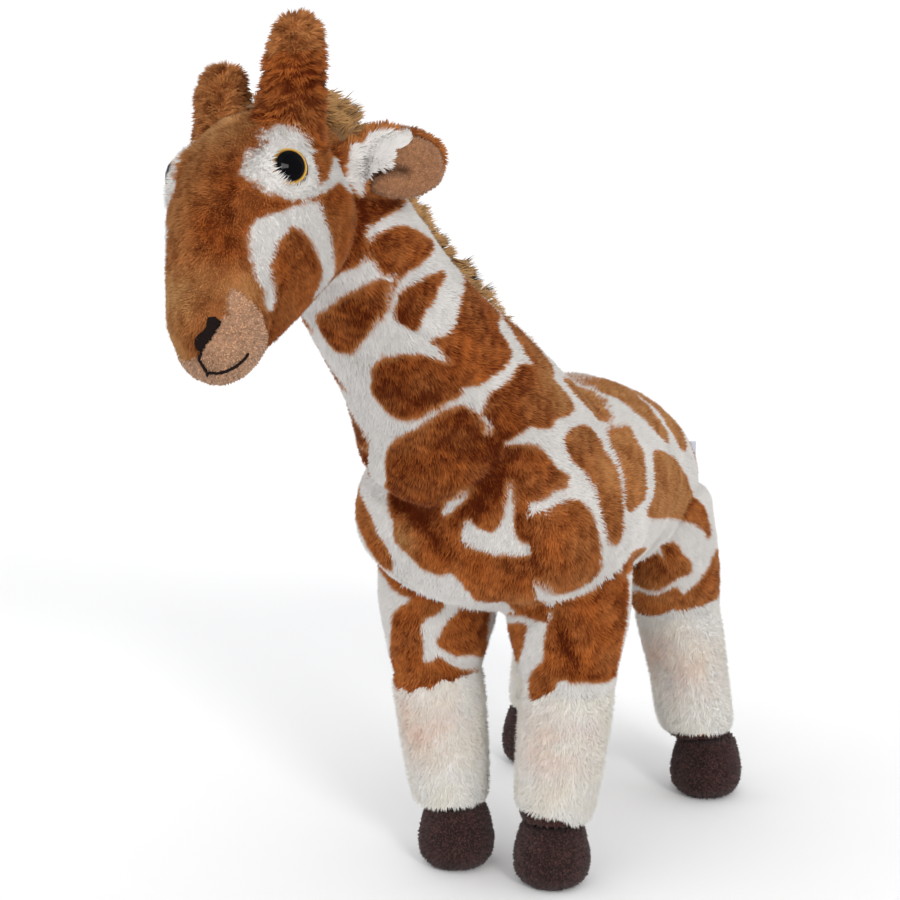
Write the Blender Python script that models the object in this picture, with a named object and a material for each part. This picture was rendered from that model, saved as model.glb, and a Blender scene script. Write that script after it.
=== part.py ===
"""Plush toy giraffe, standing on four stuffed legs, about 35 cm tall.

The toy is modelled in the pose that it holds: legs straight, hind feet splayed, neck leaning forward
and to its own right, head hanging from it with a slight roll. It faces -Y, its left side is +X, and
its soles are at Z = 0. Sizes are in millimetres and turn into metres where a mesh is made.
Each stuffed piece is a loft along a spine, and is cut back by the neighbour that it is sewn to.
"""

import math
from typing import NamedTuple

import bmesh
import bpy
from mathutils import Matrix, Vector

MM = 0.001
SEAM_GAP = 0.3
SIDES = 18
FLAT = None

# Legs: the heights at which a stocking starts and a hoof ends, and the half size of a sole.
CUFF_TOP = 83.0
HOOF_TOP = 26.0
SOLE = 9.0
FRONT_LEG = {"hip": (28.5, -57.0), "cuff": (29.0, -58.0), "foot": (21.5, -57.0)}
HIND_LEG = {"hip": (24.0, 50.0), "cuff": (27.5, 58.0), "foot": (41.0, 62.0)}

# Each leg's upper part as (height, half width, half depth), then its stocking as (height, radius).
FRONT_SIZES = (
    ((136, 25, 25), (114, 25, 25), (98, 21.5, 22), (CUFF_TOP + SEAM_GAP, 18, 18)),
    ((CUFF_TOP, 18), (76, 18.6), (56, 17.8), (36, 16.4), (HOOF_TOP + SEAM_GAP, 14.5)),
)
HIND_SIZES = (
    ((136, 22, 26.5), (112, 21.5, 27), (98, 20.5, 24), (CUFF_TOP + SEAM_GAP, 18, 19)),
    ((CUFF_TOP, 18), (76, 18.4), (56, 17), (36, 15.8), (HOOF_TOP + SEAM_GAP, 14)),
)

# Head: where the skull is, how far it rolls, and the sizes of what it carries.
SKULL = Vector((-28.0, -190.0, 292.0))
HEAD_ROLL = math.radians(-8.0)
EYE_RADIUS = 6.8
EYE_BULGE = 4.2

COLOURS = {
    "patch_plush": ((0.42, 0.17, 0.05), 0.95),
    "cream_plush": ((0.85, 0.80, 0.68), 0.95),
    "tan_cloth": ((0.62, 0.38, 0.24), 0.9),
    "mane_plush": ((0.50, 0.30, 0.13), 0.95),
    "hoof_cloth": ((0.07, 0.035, 0.025), 0.95),
    "eye_plastic": ((0.01, 0.01, 0.01), 0.1),
    "label_satin": ((0.86, 0.88, 0.92), 0.5),
}


class Station(NamedTuple):
    """One ring of a loft: its centre, and its half sizes across (left to right) and deep."""

    centre: Vector
    across: float
    deep: float


def station(x, y, z, across, deep):
    return Station(Vector((x, y, z)), across, deep)


def clear_scene():
    for obj in list(bpy.data.objects):
        bpy.data.objects.remove(obj, do_unlink=True)


def new_collection(name):
    collection = bpy.data.collections.new(name)
    bpy.context.scene.collection.children.link(collection)
    return collection


def material(name):
    """The Principled material of a cloth or plastic, made once."""
    found = bpy.data.materials.get(name)
    if found:
        return found
    colour, roughness = COLOURS[name]
    made = bpy.data.materials.new(name)
    made.use_nodes = True
    shader = made.node_tree.nodes["Principled BSDF"]
    shader.inputs["Base Color"].default_value = (*colour, 1.0)
    shader.inputs["Roughness"].default_value = roughness
    return made


def catmull(before, start, end, after, share):
    """The value at that share of the way from start to end, on a smooth curve through all four."""
    return 0.5 * (
        2 * start
        + (end - before) * share
        + (2 * before - 5 * start + 4 * end - after) * share**2
        + (3 * start - before - 3 * end + after) * share**3
    )


def smooth_stations(stations, per_span):
    """The stations with more between them, on a smooth curve through them."""
    padded = [stations[0], *stations, stations[-1]]
    rings = []
    for four in zip(padded, padded[1:], padded[2:], padded[3:]):
        for step in range(per_span):
            mixed = (catmull(*values, step / per_span) for values in zip(*four))
            rings.append(Station(*mixed))
    rings.append(stations[-1])
    return rings


def rounded_end(ring, outward, bulge, steps=3):
    """Rings that close an end as part of an ellipsoid which bulges by that much, and its pole."""
    rings = []
    if bulge is FLAT:
        return rings, ring.centre
    for step in range(1, steps + 1):
        angle = math.pi / 2 * step / (steps + 1)
        centre = ring.centre + outward * bulge * math.sin(angle)
        rings.append(Station(centre, ring.across * math.cos(angle), ring.deep * math.cos(angle)))
    return rings, ring.centre + outward * bulge


def ring_points(ring, along, lateral, sides):
    across = (lateral - along * lateral.dot(along)).normalized()
    deep = along.cross(across)
    points = []
    for side in range(sides):
        angle = 2 * math.pi * side / sides
        offset = across * ring.across * math.cos(angle) + deep * ring.deep * math.sin(angle)
        points.append(ring.centre + offset)
    return points


def loft(name, stations, bulges, sides=SIDES, per_span=2, lateral=(1, 0, 0), level=False):
    """A closed mesh through the stations; its two ends bulge by the given lengths, or are FLAT.

    The rings stand square to the spine, or, if level is set, lie level.
    """
    rings = smooth_stations(stations, per_span)
    first_way = (rings[0].centre - rings[1].centre).normalized()
    last_way = (rings[-1].centre - rings[-2].centre).normalized()
    start_rings, start_pole = rounded_end(rings[0], first_way, bulges[0])
    end_rings, end_pole = rounded_end(rings[-1], last_way, bulges[1])
    rings = [*reversed(start_rings), *rings, *end_rings]

    bm = bmesh.new()
    loops = []
    for index, ring in enumerate(rings):
        ahead = rings[min(index + 1, len(rings) - 1)].centre
        behind = rings[max(index - 1, 0)].centre
        along = Vector((0, 0, -1)) if level else (ahead - behind).normalized()
        points = ring_points(ring, along, Vector(lateral), sides)
        loops.append([bm.verts.new(point * MM) for point in points])
    for lower, upper in zip(loops, loops[1:]):
        for side in range(sides):
            after = (side + 1) % sides
            bm.faces.new((lower[side], lower[after], upper[after], upper[side]))
    for pole, loop in ((start_pole, loops[0]), (end_pole, loops[-1])):
        tip = bm.verts.new(pole * MM)
        for side in range(sides):
            bm.faces.new((tip, loop[side], loop[(side + 1) % sides]))
    bmesh.ops.recalc_face_normals(bm, faces=bm.faces)
    return mesh_object(name, bm)


def mesh_object(name, bm):
    mesh = bpy.data.meshes.new(name)
    bm.to_mesh(mesh)
    bm.free()
    obj = bpy.data.objects.new(name, mesh)
    bpy.context.scene.collection.objects.link(obj)
    return obj


def ball(name, radii, matrix, segments=16, rings=8):
    """A sphere squashed to three radii, in the place and turn that the matrix gives."""
    bm = bmesh.new()
    bmesh.ops.create_uvsphere(bm, u_segments=segments, v_segments=rings, radius=1.0)
    bmesh.ops.transform(bm, matrix=Matrix.Diagonal((*radii, 1.0)), verts=bm.verts)
    bmesh.ops.transform(bm, matrix=Matrix.Scale(MM, 4) @ matrix, verts=bm.verts)
    return mesh_object(name, bm)


def box(name, low, high, matrix):
    """A box between two corners, then moved by the matrix."""
    size = Vector(high) - Vector(low)
    middle = (Vector(high) + Vector(low)) / 2
    bm = bmesh.new()
    bmesh.ops.create_cube(bm, size=1.0)
    bmesh.ops.transform(bm, matrix=Matrix.Diagonal((*size, 1.0)), verts=bm.verts)
    bmesh.ops.translate(bm, vec=middle, verts=bm.verts)
    bmesh.ops.transform(bm, matrix=Matrix.Scale(MM, 4) @ matrix, verts=bm.verts)
    bmesh.ops.recalc_face_normals(bm, faces=bm.faces)
    return mesh_object(name, bm)


def wedge(name, corners, low, high, matrix):
    """A flat outline of (x, y) corners, drawn up from low to high, then moved by the matrix."""
    bm = bmesh.new()
    face = bm.faces.new([bm.verts.new((x, y, low)) for x, y in corners])
    drawn = bmesh.ops.extrude_face_region(bm, geom=[face])
    raised = [item for item in drawn["geom"] if isinstance(item, bmesh.types.BMVert)]
    bmesh.ops.translate(bm, vec=(0, 0, high - low), verts=raised)
    bmesh.ops.transform(bm, matrix=Matrix.Scale(MM, 4) @ matrix, verts=bm.verts)
    bmesh.ops.recalc_face_normals(bm, faces=bm.faces)
    return mesh_object(name, bm)


def facing(place, normal, upward=(0, 0, 1)):
    """The matrix that puts local +Z along the normal at that place, with +Y as near upward as can be."""
    forward = Vector(normal).normalized()
    side = Vector(upward).cross(forward).normalized()
    turn = Matrix((side, forward.cross(side), forward)).transposed()
    return Matrix.Translation(place) @ turn.to_4x4()


class Toy:
    """The parts and their cutters, and the ways to fit a part to the neighbours it is sewn to."""

    def __init__(self):
        self.parts = new_collection("plush_giraffe")
        self.cutters = new_collection("cutters")
        self.cutters.hide_render = True

    def keep(self, obj, cloth):
        bpy.context.scene.collection.objects.unlink(obj)
        self.parts.objects.link(obj)
        obj.data.materials.append(material(cloth))
        obj.data.shade_smooth()
        return obj

    def as_cutter(self, obj):
        bpy.context.scene.collection.objects.unlink(obj)
        self.cutters.objects.link(obj)
        obj.hide_render = True
        obj.display_type = "WIRE"
        return obj

    def stand_on_origin(self):
        """Moves everything so that the middle of the toy's box is over the origin, soles at Z = 0."""
        bpy.context.view_layer.update()
        graph = bpy.context.evaluated_depsgraph_get()
        corners = []
        for part in self.parts.objects:
            corners += [Vector(corner) for corner in part.evaluated_get(graph).bound_box]
        low, high = (Vector([limit(values) for values in zip(*corners)]) for limit in (min, max))
        middle = (low + high) / 2
        for obj in [*self.parts.objects, *self.cutters.objects]:
            obj.location = (-middle.x, -middle.y, -low.z)

    def swollen(self, neighbour):
        """A cutter with the neighbour's finished shape, larger by the seam gap all round."""
        name = f"cut_{neighbour.name}"
        found = bpy.data.objects.get(name)
        if found:
            return found
        graph = bpy.context.evaluated_depsgraph_get()
        mesh = bpy.data.meshes.new_from_object(neighbour.evaluated_get(graph))
        made = bpy.data.objects.new(name, mesh)
        bpy.context.scene.collection.objects.link(made)
        swell = made.modifiers.new("seam_gap", "DISPLACE")
        swell.strength = SEAM_GAP * MM
        swell.mid_level = 0.0
        return self.as_cutter(made)

    def subtract(self, piece, *cutters):
        for cutter in cutters:
            cut = piece.modifiers.new(f"less_{cutter.name}", "BOOLEAN")
            cut.operation = "DIFFERENCE"
            cut.solver = "EXACT"
            cut.object = cutter

    def cut_back(self, piece, *neighbours):
        """Takes from the piece what its neighbours fill."""
        self.subtract(piece, *(self.swollen(neighbour) for neighbour in neighbours))


def head_matrix():
    return Matrix.Translation(SKULL) @ Matrix.Rotation(HEAD_ROLL, 4, "Y")


def in_head(x, y, z):
    """A place given from the skull's centre: X to the toy's left, -Y forward, Z to the crown."""
    return head_matrix() @ Vector((x, y, z))


def head_way(x, y, z):
    return (head_matrix().to_3x3() @ Vector((x, y, z))).normalized()


def head_station(y, z, across, deep):
    return Station(in_head(0, y, z), across, deep)


def make_trunk():
    """Chest, belly and rump: deepest at the chest, and sloping down to the rump."""
    return loft(
        "trunk",
        [
            station(0, -91, 151, 47.5, 30),
            station(0, -70, 153, 57, 39),
            station(0, -34, 154, 55, 40),
            station(0, 6, 151.5, 47, 42.5),
            station(0, 38, 143, 42, 37.5),
            station(0, 60, 137.5, 34.5, 31.5),
        ],
        (15, 21),
        sides=24,
    )


def make_neck():
    """A cone that rises forward out of the chest and leans to the toy's right."""
    return loft(
        "neck",
        [
            station(0, -38, 152, 43, 44),
            station(-2, -72, 180, 42, 43),
            station(-8, -102.5, 214.5, 35, 33.5),
            station(-15, -132, 248.5, 29, 27),
            station(-21, -157, 280.5, 25, 25),
        ],
        (10, 8),
        sides=20,
    )


def head_form(name):
    """Skull, brow and face down to the chin, as one form."""
    return loft(
        name,
        [
            head_station(25, 4, 22, 24),
            head_station(9, -2, 30, 33),
            head_station(-8, -12, 29.5, 33),
            head_station(-24, -27, 23, 26.5),
            head_station(-38, -39, 18, 18.5),
        ],
        (12, 19),
        sides=24,
        lateral=head_way(1, 0, 0),
    )


def make_muzzle(toy):
    """The bare cloth end of the face: the head's form below a slanting line, less the nose strip."""
    axis = head_way(0, -0.75, -0.66)
    crown = head_way(0, -0.66, 0.75)
    sideways = head_way(1, 0, 0)
    turn = Matrix((sideways, axis, crown)).transposed().to_4x4()
    place = Matrix.Translation(in_head(0, -34, -33)) @ turn
    muzzle = head_form("muzzle")
    behind = box("cut_face", (-60, -90, -60), (60, 0, 60), place)
    strip = wedge("cut_nose_strip", [(-15, -5), (15, -5), (0, 27)], 2, 60, place)
    toy.subtract(muzzle, toy.as_cutter(behind), toy.as_cutter(strip))
    return muzzle


def make_horn(name, base, middle, tip):
    radii = ((12.5, 12), (11, 10), (9, 8))
    places = (in_head(*base), in_head(*middle), in_head(*tip))
    stations = [Station(place, *size) for place, size in zip(places, radii)]
    return loft(name, stations, (4, 7), sides=14, lateral=head_way(1, 0, 0))


def make_ear(side, name):
    """A leaf that points out and back, wide and thin."""
    return loft(
        name,
        [
            Station(in_head(side * 20, 14, 4), 9, 6),
            Station(in_head(side * 29, 25, 5), 13, 6.5),
            Station(in_head(side * 37, 35, 4), 13.5, 6),
            Station(in_head(side * 43, 43, 2), 10, 4.5),
        ],
        (4, 6),
        sides=16,
        lateral=head_way(side * 0.1, -0.15, 1),
    )


def make_ear_lining(side, name):
    """The bare inner face of an ear, set into the front of the leaf."""
    middle = in_head(side * 38.5, 31, 3)
    out = head_way(side * 0.6, 0.8, -0.05)
    face = head_way(side * 0.8, -0.6, 0.05)
    turn = Matrix((out, face.cross(out), face)).transposed().to_4x4()
    return ball(name, (15, 10, 4.5), Matrix.Translation(middle) @ turn)


def make_eye(side, name):
    place = in_head(side * 22, -16, 8.5)
    normal = head_way(side * 0.88, -0.47, 0.1)
    return ball(name, (EYE_RADIUS, EYE_RADIUS, EYE_BULGE), facing(place, normal))


def make_mane():
    """A standing ridge from the crown down the back of the neck to the withers."""
    return loft(
        "mane",
        [
            Station(in_head(3, 7, 25), 7, 8),
            Station(in_head(4, 25, 25), 8, 13),
            station(-23, -144, 303, 7, 13),
            station(-16, -116, 273, 6, 12),
            station(-9, -84, 242, 6, 12),
            station(-3, -48, 212, 5, 9),
            station(0, -26, 198, 4, 6),
        ],
        (6, 4),
        sides=10,
    )


def lean(spots, side, high, low):
    """The leg's centre at a height between the two named spots, for one side of the toy."""
    (top_name, top_z), (low_name, low_z) = high, low
    top = Vector((side * spots[top_name][0], spots[top_name][1], top_z))
    bottom = Vector((side * spots[low_name][0], spots[low_name][1], low_z))
    return lambda z: bottom.lerp(top, (z - low_z) / (top_z - low_z))


def make_leg(toy, side, spots, where, sizes):
    """Upper leg, stocking and hoof of one leg, top to bottom; each ends level where the next starts."""
    hip = lean(spots, side, ("hip", 118.0), ("cuff", CUFF_TOP))
    shin = lean(spots, side, ("cuff", CUFF_TOP), ("foot", 12.0))
    upper, stocking = sizes
    top = loft(
        f"leg_{where}",
        [Station(hip(z), across, deep) for z, across, deep in upper],
        (8, FLAT),
        sides=16,
        level=True,
    )
    middle = loft(
        f"stocking_{where}",
        [Station(shin(z), radius, radius) for z, radius in stocking],
        (FLAT, FLAT),
        sides=16,
        level=True,
    )
    foot = shin(12.0)
    hoof_rings = ((HOOF_TOP, 12.0), (21.0, 13.6), (12.0, 15.6), (5.0, 15.0), (1.5, 12.2), (0.0, SOLE))
    hoof = loft(
        f"hoof_{where}",
        [Station(Vector((foot.x, foot.y, z)), radius, radius) for z, radius in hoof_rings],
        (FLAT, FLAT),
        sides=16,
        per_span=1,
        level=True,
    )
    toy.keep(top, "patch_plush")
    toy.keep(middle, "cream_plush")
    toy.keep(hoof, "hoof_cloth")
    return top


def make_tail():
    """A short cord that hangs behind the rump, and the tuft at its end."""
    cord = loft(
        "tail",
        [station(0, 80, 150, 4, 4), station(0, 93, 138, 3.8, 3.8), station(0, 97, 110, 3.4, 3.4)],
        (2, FLAT),
        sides=10,
    )
    tuft = loft(
        "tail_tuft",
        [
            station(0, 97.3, 109.6, 4, 4),
            station(0, 98, 98, 7, 7),
            station(0, 98, 86, 5.5, 5.5),
            station(0, 98, 78, 2, 2),
        ],
        (FLAT, 3),
        sides=12,
    )
    return cord, tuft


def make_label():
    """The sewn-in tab at the left of the rump, bare."""
    place = facing(Vector((28, 55, 152.5)), (0.35, -0.9, 0.2))
    return box("label", (-7, -6, -0.4), (7, 6, 0.4), place)


def build():
    clear_scene()
    toy = Toy()

    trunk = toy.keep(make_trunk(), "patch_plush")
    muzzle = toy.keep(make_muzzle(toy), "tan_cloth")
    eyes = [
        toy.keep(make_eye(1, "eye_left"), "eye_plastic"),
        toy.keep(make_eye(-1, "eye_right"), "eye_plastic"),
    ]
    head = toy.keep(head_form("head"), "patch_plush")
    toy.cut_back(head, muzzle, *eyes)

    neck = toy.keep(make_neck(), "patch_plush")
    toy.cut_back(neck, trunk, head)

    horns = [
        make_horn("horn_left", (14, 0, 18), (18, 1, 36), (21, 3, 52)),
        make_horn("horn_right", (-12, 1, 14), (-16, 8, 28), (-19, 16, 38)),
    ]
    for horn in horns:
        toy.keep(horn, "patch_plush")
        toy.cut_back(horn, head)

    for side, name in ((1, "left"), (-1, "right")):
        lining = toy.keep(make_ear_lining(side, f"ear_lining_{name}"), "tan_cloth")
        ear = toy.keep(make_ear(side, f"ear_{name}"), "patch_plush")
        toy.cut_back(lining, head)
        toy.cut_back(ear, head, lining)

    mane = toy.keep(make_mane(), "mane_plush")
    toy.cut_back(mane, head, neck, trunk, *horns)

    for side, name in ((1, "left"), (-1, "right")):
        for spots, where, sizes in (
            (FRONT_LEG, f"front_{name}", FRONT_SIZES),
            (HIND_LEG, f"hind_{name}", HIND_SIZES),
        ):
            toy.cut_back(make_leg(toy, side, spots, where, sizes), trunk, neck)

    cord, tuft = make_tail()
    toy.cut_back(toy.keep(cord, "patch_plush"), trunk)
    toy.keep(tuft, "mane_plush")
    label = toy.keep(make_label(), "label_satin")
    toy.cut_back(label, trunk)
    toy.stand_on_origin()


if __name__ == "__main__":
    build()
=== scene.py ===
"""Dresses the solids of a plush toy giraffe: stuffed skins, pile, terry cloth, eyes and stitching.

Places are in toy millimetres. The toy faces -Y, its left is +X, and it stands on Z = 0 with its
middle at X = 0.
"""

import math
from typing import NamedTuple

import bmesh
import bpy
import numpy as np
from bpy.props import FloatProperty, FloatVectorProperty, PointerProperty
from mathutils import Matrix, Vector
from mathutils.bvhtree import BVHTree


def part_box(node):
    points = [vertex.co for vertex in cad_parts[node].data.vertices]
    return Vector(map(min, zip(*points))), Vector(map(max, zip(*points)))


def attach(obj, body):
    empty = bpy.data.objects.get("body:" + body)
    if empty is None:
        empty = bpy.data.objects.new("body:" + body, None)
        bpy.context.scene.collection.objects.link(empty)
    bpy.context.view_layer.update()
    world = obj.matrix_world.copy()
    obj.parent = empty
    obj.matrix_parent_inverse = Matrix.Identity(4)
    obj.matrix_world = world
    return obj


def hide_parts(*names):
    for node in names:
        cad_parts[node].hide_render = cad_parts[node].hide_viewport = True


bl_info = {
    "name": "Plush giraffe",
    "version": (1, 0, 0),
    "blender": (4, 5, 0),
    "location": "View3D > Sidebar > Giraffe",
    "description": "Dresses the solids of a plush toy giraffe in pile, terry cloth and stitching",
    "category": "Object",
}

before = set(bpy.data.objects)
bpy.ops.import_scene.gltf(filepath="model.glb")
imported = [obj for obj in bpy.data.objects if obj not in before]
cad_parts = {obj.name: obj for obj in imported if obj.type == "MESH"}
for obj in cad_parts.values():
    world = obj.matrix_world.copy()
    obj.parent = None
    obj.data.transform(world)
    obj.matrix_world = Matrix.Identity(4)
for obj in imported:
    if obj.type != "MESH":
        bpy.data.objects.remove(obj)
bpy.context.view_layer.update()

MM = 0.001
SIDES = {"left": 1, "right": -1}
LEGS = tuple(f"{end}_{side}" for end in ("front", "hind") for side in SIDES)


def middle_of(node):
    """The middle of a solid's box."""
    low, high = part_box(node)
    return (low + high) / 2


# Where the middle of the front feet is, and so where the toy's own axes start in the frame.
FRONT_FEET_Y = -57.0
ORIGIN = Vector((middle_of("trunk").x, middle_of("hoof_front_left").y - FRONT_FEET_Y * MM, 0))

# The skull's centre and turn, and each kind of leg's centre line at two heights.
SKULL = np.array((-28.0, -190.0, 292.0))
HEAD_TURN = np.array(Matrix.Rotation(math.radians(-8.0), 3, "Y"))
HIP_HEIGHT = 118.0
CUFF_HEIGHT = 83.0
LEG_LINES = {"front": ((28.5, -57.0), (29.0, -58.0)), "hind": ((24.0, 50.0), (27.5, 58.0))}
# In the head's axes, for its left: an eye's middle and the way it looks, the height where the horns
# start, and an ear's root and the way it points.
EYE_PLACE = (22.0, -16.0, 8.5)
EYE_WAY = (0.88, -0.47, 0.1)
HORN_FOOT = 25.0
EAR_ROOT = (20.0, 14.0, 4.0)
EAR_OUT = (0.62, 0.78, 0.0)

# Brown patches, as outlines in millimetres. CHEST is seen from the front, as (x, z), and
# CHEST_WHITE is cut out of it.
CHEST = (
    ((-26, 244), (-18, 248), (-11, 253), (-5, 256), (-1, 259), (3, 260), (4, 259), (3, 255),
     (2, 251), (0, 247), (-5, 241), (-10, 236), (-15, 231), (-22, 231), (-26, 237)),
    ((0, 230), (6, 231), (12, 228), (17, 222), (17, 215), (12, 212), (7, 209), (3, 206), (-2, 204),
     (-8, 205), (-11, 209), (-13, 215), (-11, 220), (-9, 225), (-5, 229)),
    ((22, 209), (16, 210), (9, 207), (3, 202), (-4, 198), (-10, 195), (-16, 190), (-20, 183),
     (-21, 176), (-24, 171), (-29, 166), (-27, 160), (-24, 156), (-25, 150), (-22, 146), (-17, 143),
     (-13, 139), (-6, 137), (0, 140), (3, 136), (6, 131), (8, 126), (10, 121), (13, 116), (34, 116),
     (34, 150), (31, 165), (29, 180), (25, 197)),
    ((-50, 163), (-42, 161), (-37, 157), (-34, 150), (-30, 145), (-27, 140), (-29, 134), (-34, 134),
     (-39, 141), (-43, 149), (-50, 154)),
)
CHEST_WHITE = (
    ((-4, 162), (-1, 167), (4, 170), (12, 176), (8, 169), (3, 165), (0, 161)),
    ((4, 153), (6, 160), (9, 163), (11, 159), (17, 157), (20, 161), (22, 170), (24, 181),
     (25.5, 170), (25, 161), (27, 155), (34, 153), (34, 149), (22, 148), (12, 149), (7, 150)),
    ((14, 212), (17, 209.5), (19.3, 205), (20.3, 201), (20.9, 196.5), (22.5, 198), (24, 203),
     (23, 212)),
)
# FLANK patches are seen from the toy's own side, as (y, z), and sit a little apart on its right.
FLANK = {
    "left": (
        ((-190, 300), (-138, 300), (-140, 287), (-143, 285), (-157, 283), (-165, 280), (-168, 277),
         (-166.5, 272), (-167, 267), (-171, 264), (-175, 261), (-190, 262)),
        ((-166, 274), (-164, 276), (-158, 278), (-151, 278), (-142, 275), (-130, 269), (-140, 266),
         (-143, 265), (-153, 262), (-156, 258), (-156, 255), (-162, 264), (-164, 267), (-167, 271)),
        ((-154, 255), (-147, 258), (-137, 260), (-130, 259), (-136, 255), (-141, 250), (-144, 247),
         (-145, 242), (-147, 238), (-148, 241), (-153, 242), (-155, 243), (-156, 247), (-154, 250)),
        ((-139, 226), (-141, 232), (-141, 235), (-138, 236), (-132, 238), (-129, 243), (-126, 248),
         (-118, 252), (-112, 255), (-100, 250), (-90, 240), (-96, 237), (-104, 237), (-105, 232),
         (-101, 227), (-107, 223), (-114, 221), (-120, 218), (-128, 217), (-136, 216)),
        ((-93, 236), (-86, 239), (-66, 217), (-78, 211), (-85, 215), (-91, 222)),
        ((-66, 210), (-52, 206), (-30, 199), (-8, 193), (-13, 191), (-20, 189), (-27, 186),
         (-43, 189), (-48, 194), (-58, 200), (-62, 205)),
        ((-119, 213), (-114, 215), (-108, 217), (-100, 221), (-92, 220), (-85, 217), (-78, 213),
         (-71, 206), (-66, 199), (-75, 198), (-84, 199), (-89, 196), (-95, 197), (-100, 199),
         (-105, 197), (-110, 194), (-113, 191), (-119, 189), (-123, 200), (-119, 204)),
        ((-119, 188), (-112, 191), (-106, 192), (-100, 191), (-95, 189), (-91, 185), (-87, 180),
         (-82, 176), (-87, 173), (-93, 171), (-99, 169), (-103, 171), (-105, 176), (-109, 179),
         (-116, 176)),
        ((-102, 163), (-96, 166), (-90, 168), (-85, 169), (-84, 165), (-83, 158), (-82, 150),
         (-80, 145), (-77, 140), (-77, 136), (-81, 132), (-87, 131), (-92, 134), (-98, 139),
         (-104, 144), (-110, 152)),
        ((-81, 192), (-67, 193), (-59, 190), (-53, 185), (-56, 180), (-58, 175), (-64, 169),
         (-67, 165), (-69, 159), (-71, 151), (-73, 149), (-78, 153), (-79, 159), (-78, 166),
         (-76, 172), (-74, 176), (-76, 179), (-81, 185)),
        ((-39, 185), (-33, 184), (-28, 183), (-21, 183), (-25, 181), (-29, 176), (-34, 172),
         (-40, 168), (-47, 163), (-54, 161), (-63, 160), (-66, 163), (-62, 167), (-57, 172),
         (-54, 176), (-50, 179), (-48, 182)),
        ((-21, 172), (-14, 172), (-5, 169), (9, 163), (15, 159), (26, 152), (36, 143), (45, 135),
         (48, 126), (50, 122), (46, 120), (43, 125), (37, 129), (33, 131), (11, 138), (-18, 146),
         (-40, 152), (-51, 156), (-42, 158), (-34, 162), (-29, 166), (-24, 169)),
        ((30, 190), (20, 188), (19, 186), (15, 183), (13, 178), (12, 173), (6, 170), (0, 174),
         (-3, 178), (-4, 183), (-5, 187), (-3, 190), (-9, 192), (2, 194)),
        ((21, 187), (24, 184), (24, 176), (23, 168), (27, 163), (36, 160), (44, 164), (50, 172),
         (46, 181), (34, 188)),
        ((55, 166), (64, 160), (68, 148), (62, 140), (55, 147), (50, 157)),
        ((-60, 143), (-45, 140), (-24, 134), (-40, 132), (-60, 133)),
        ((-115, 144), (-100, 141), (-98, 137), (-96, 132), (-92, 127), (-115, 120)),
    ),
}
RIGHT_SHIFT = (3, -4)
FLANK["right"] = tuple(
    tuple((y + RIGHT_SHIFT[0], z + RIGHT_SHIFT[1]) for y, z in outline) for outline in FLANK["left"]
)
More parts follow.
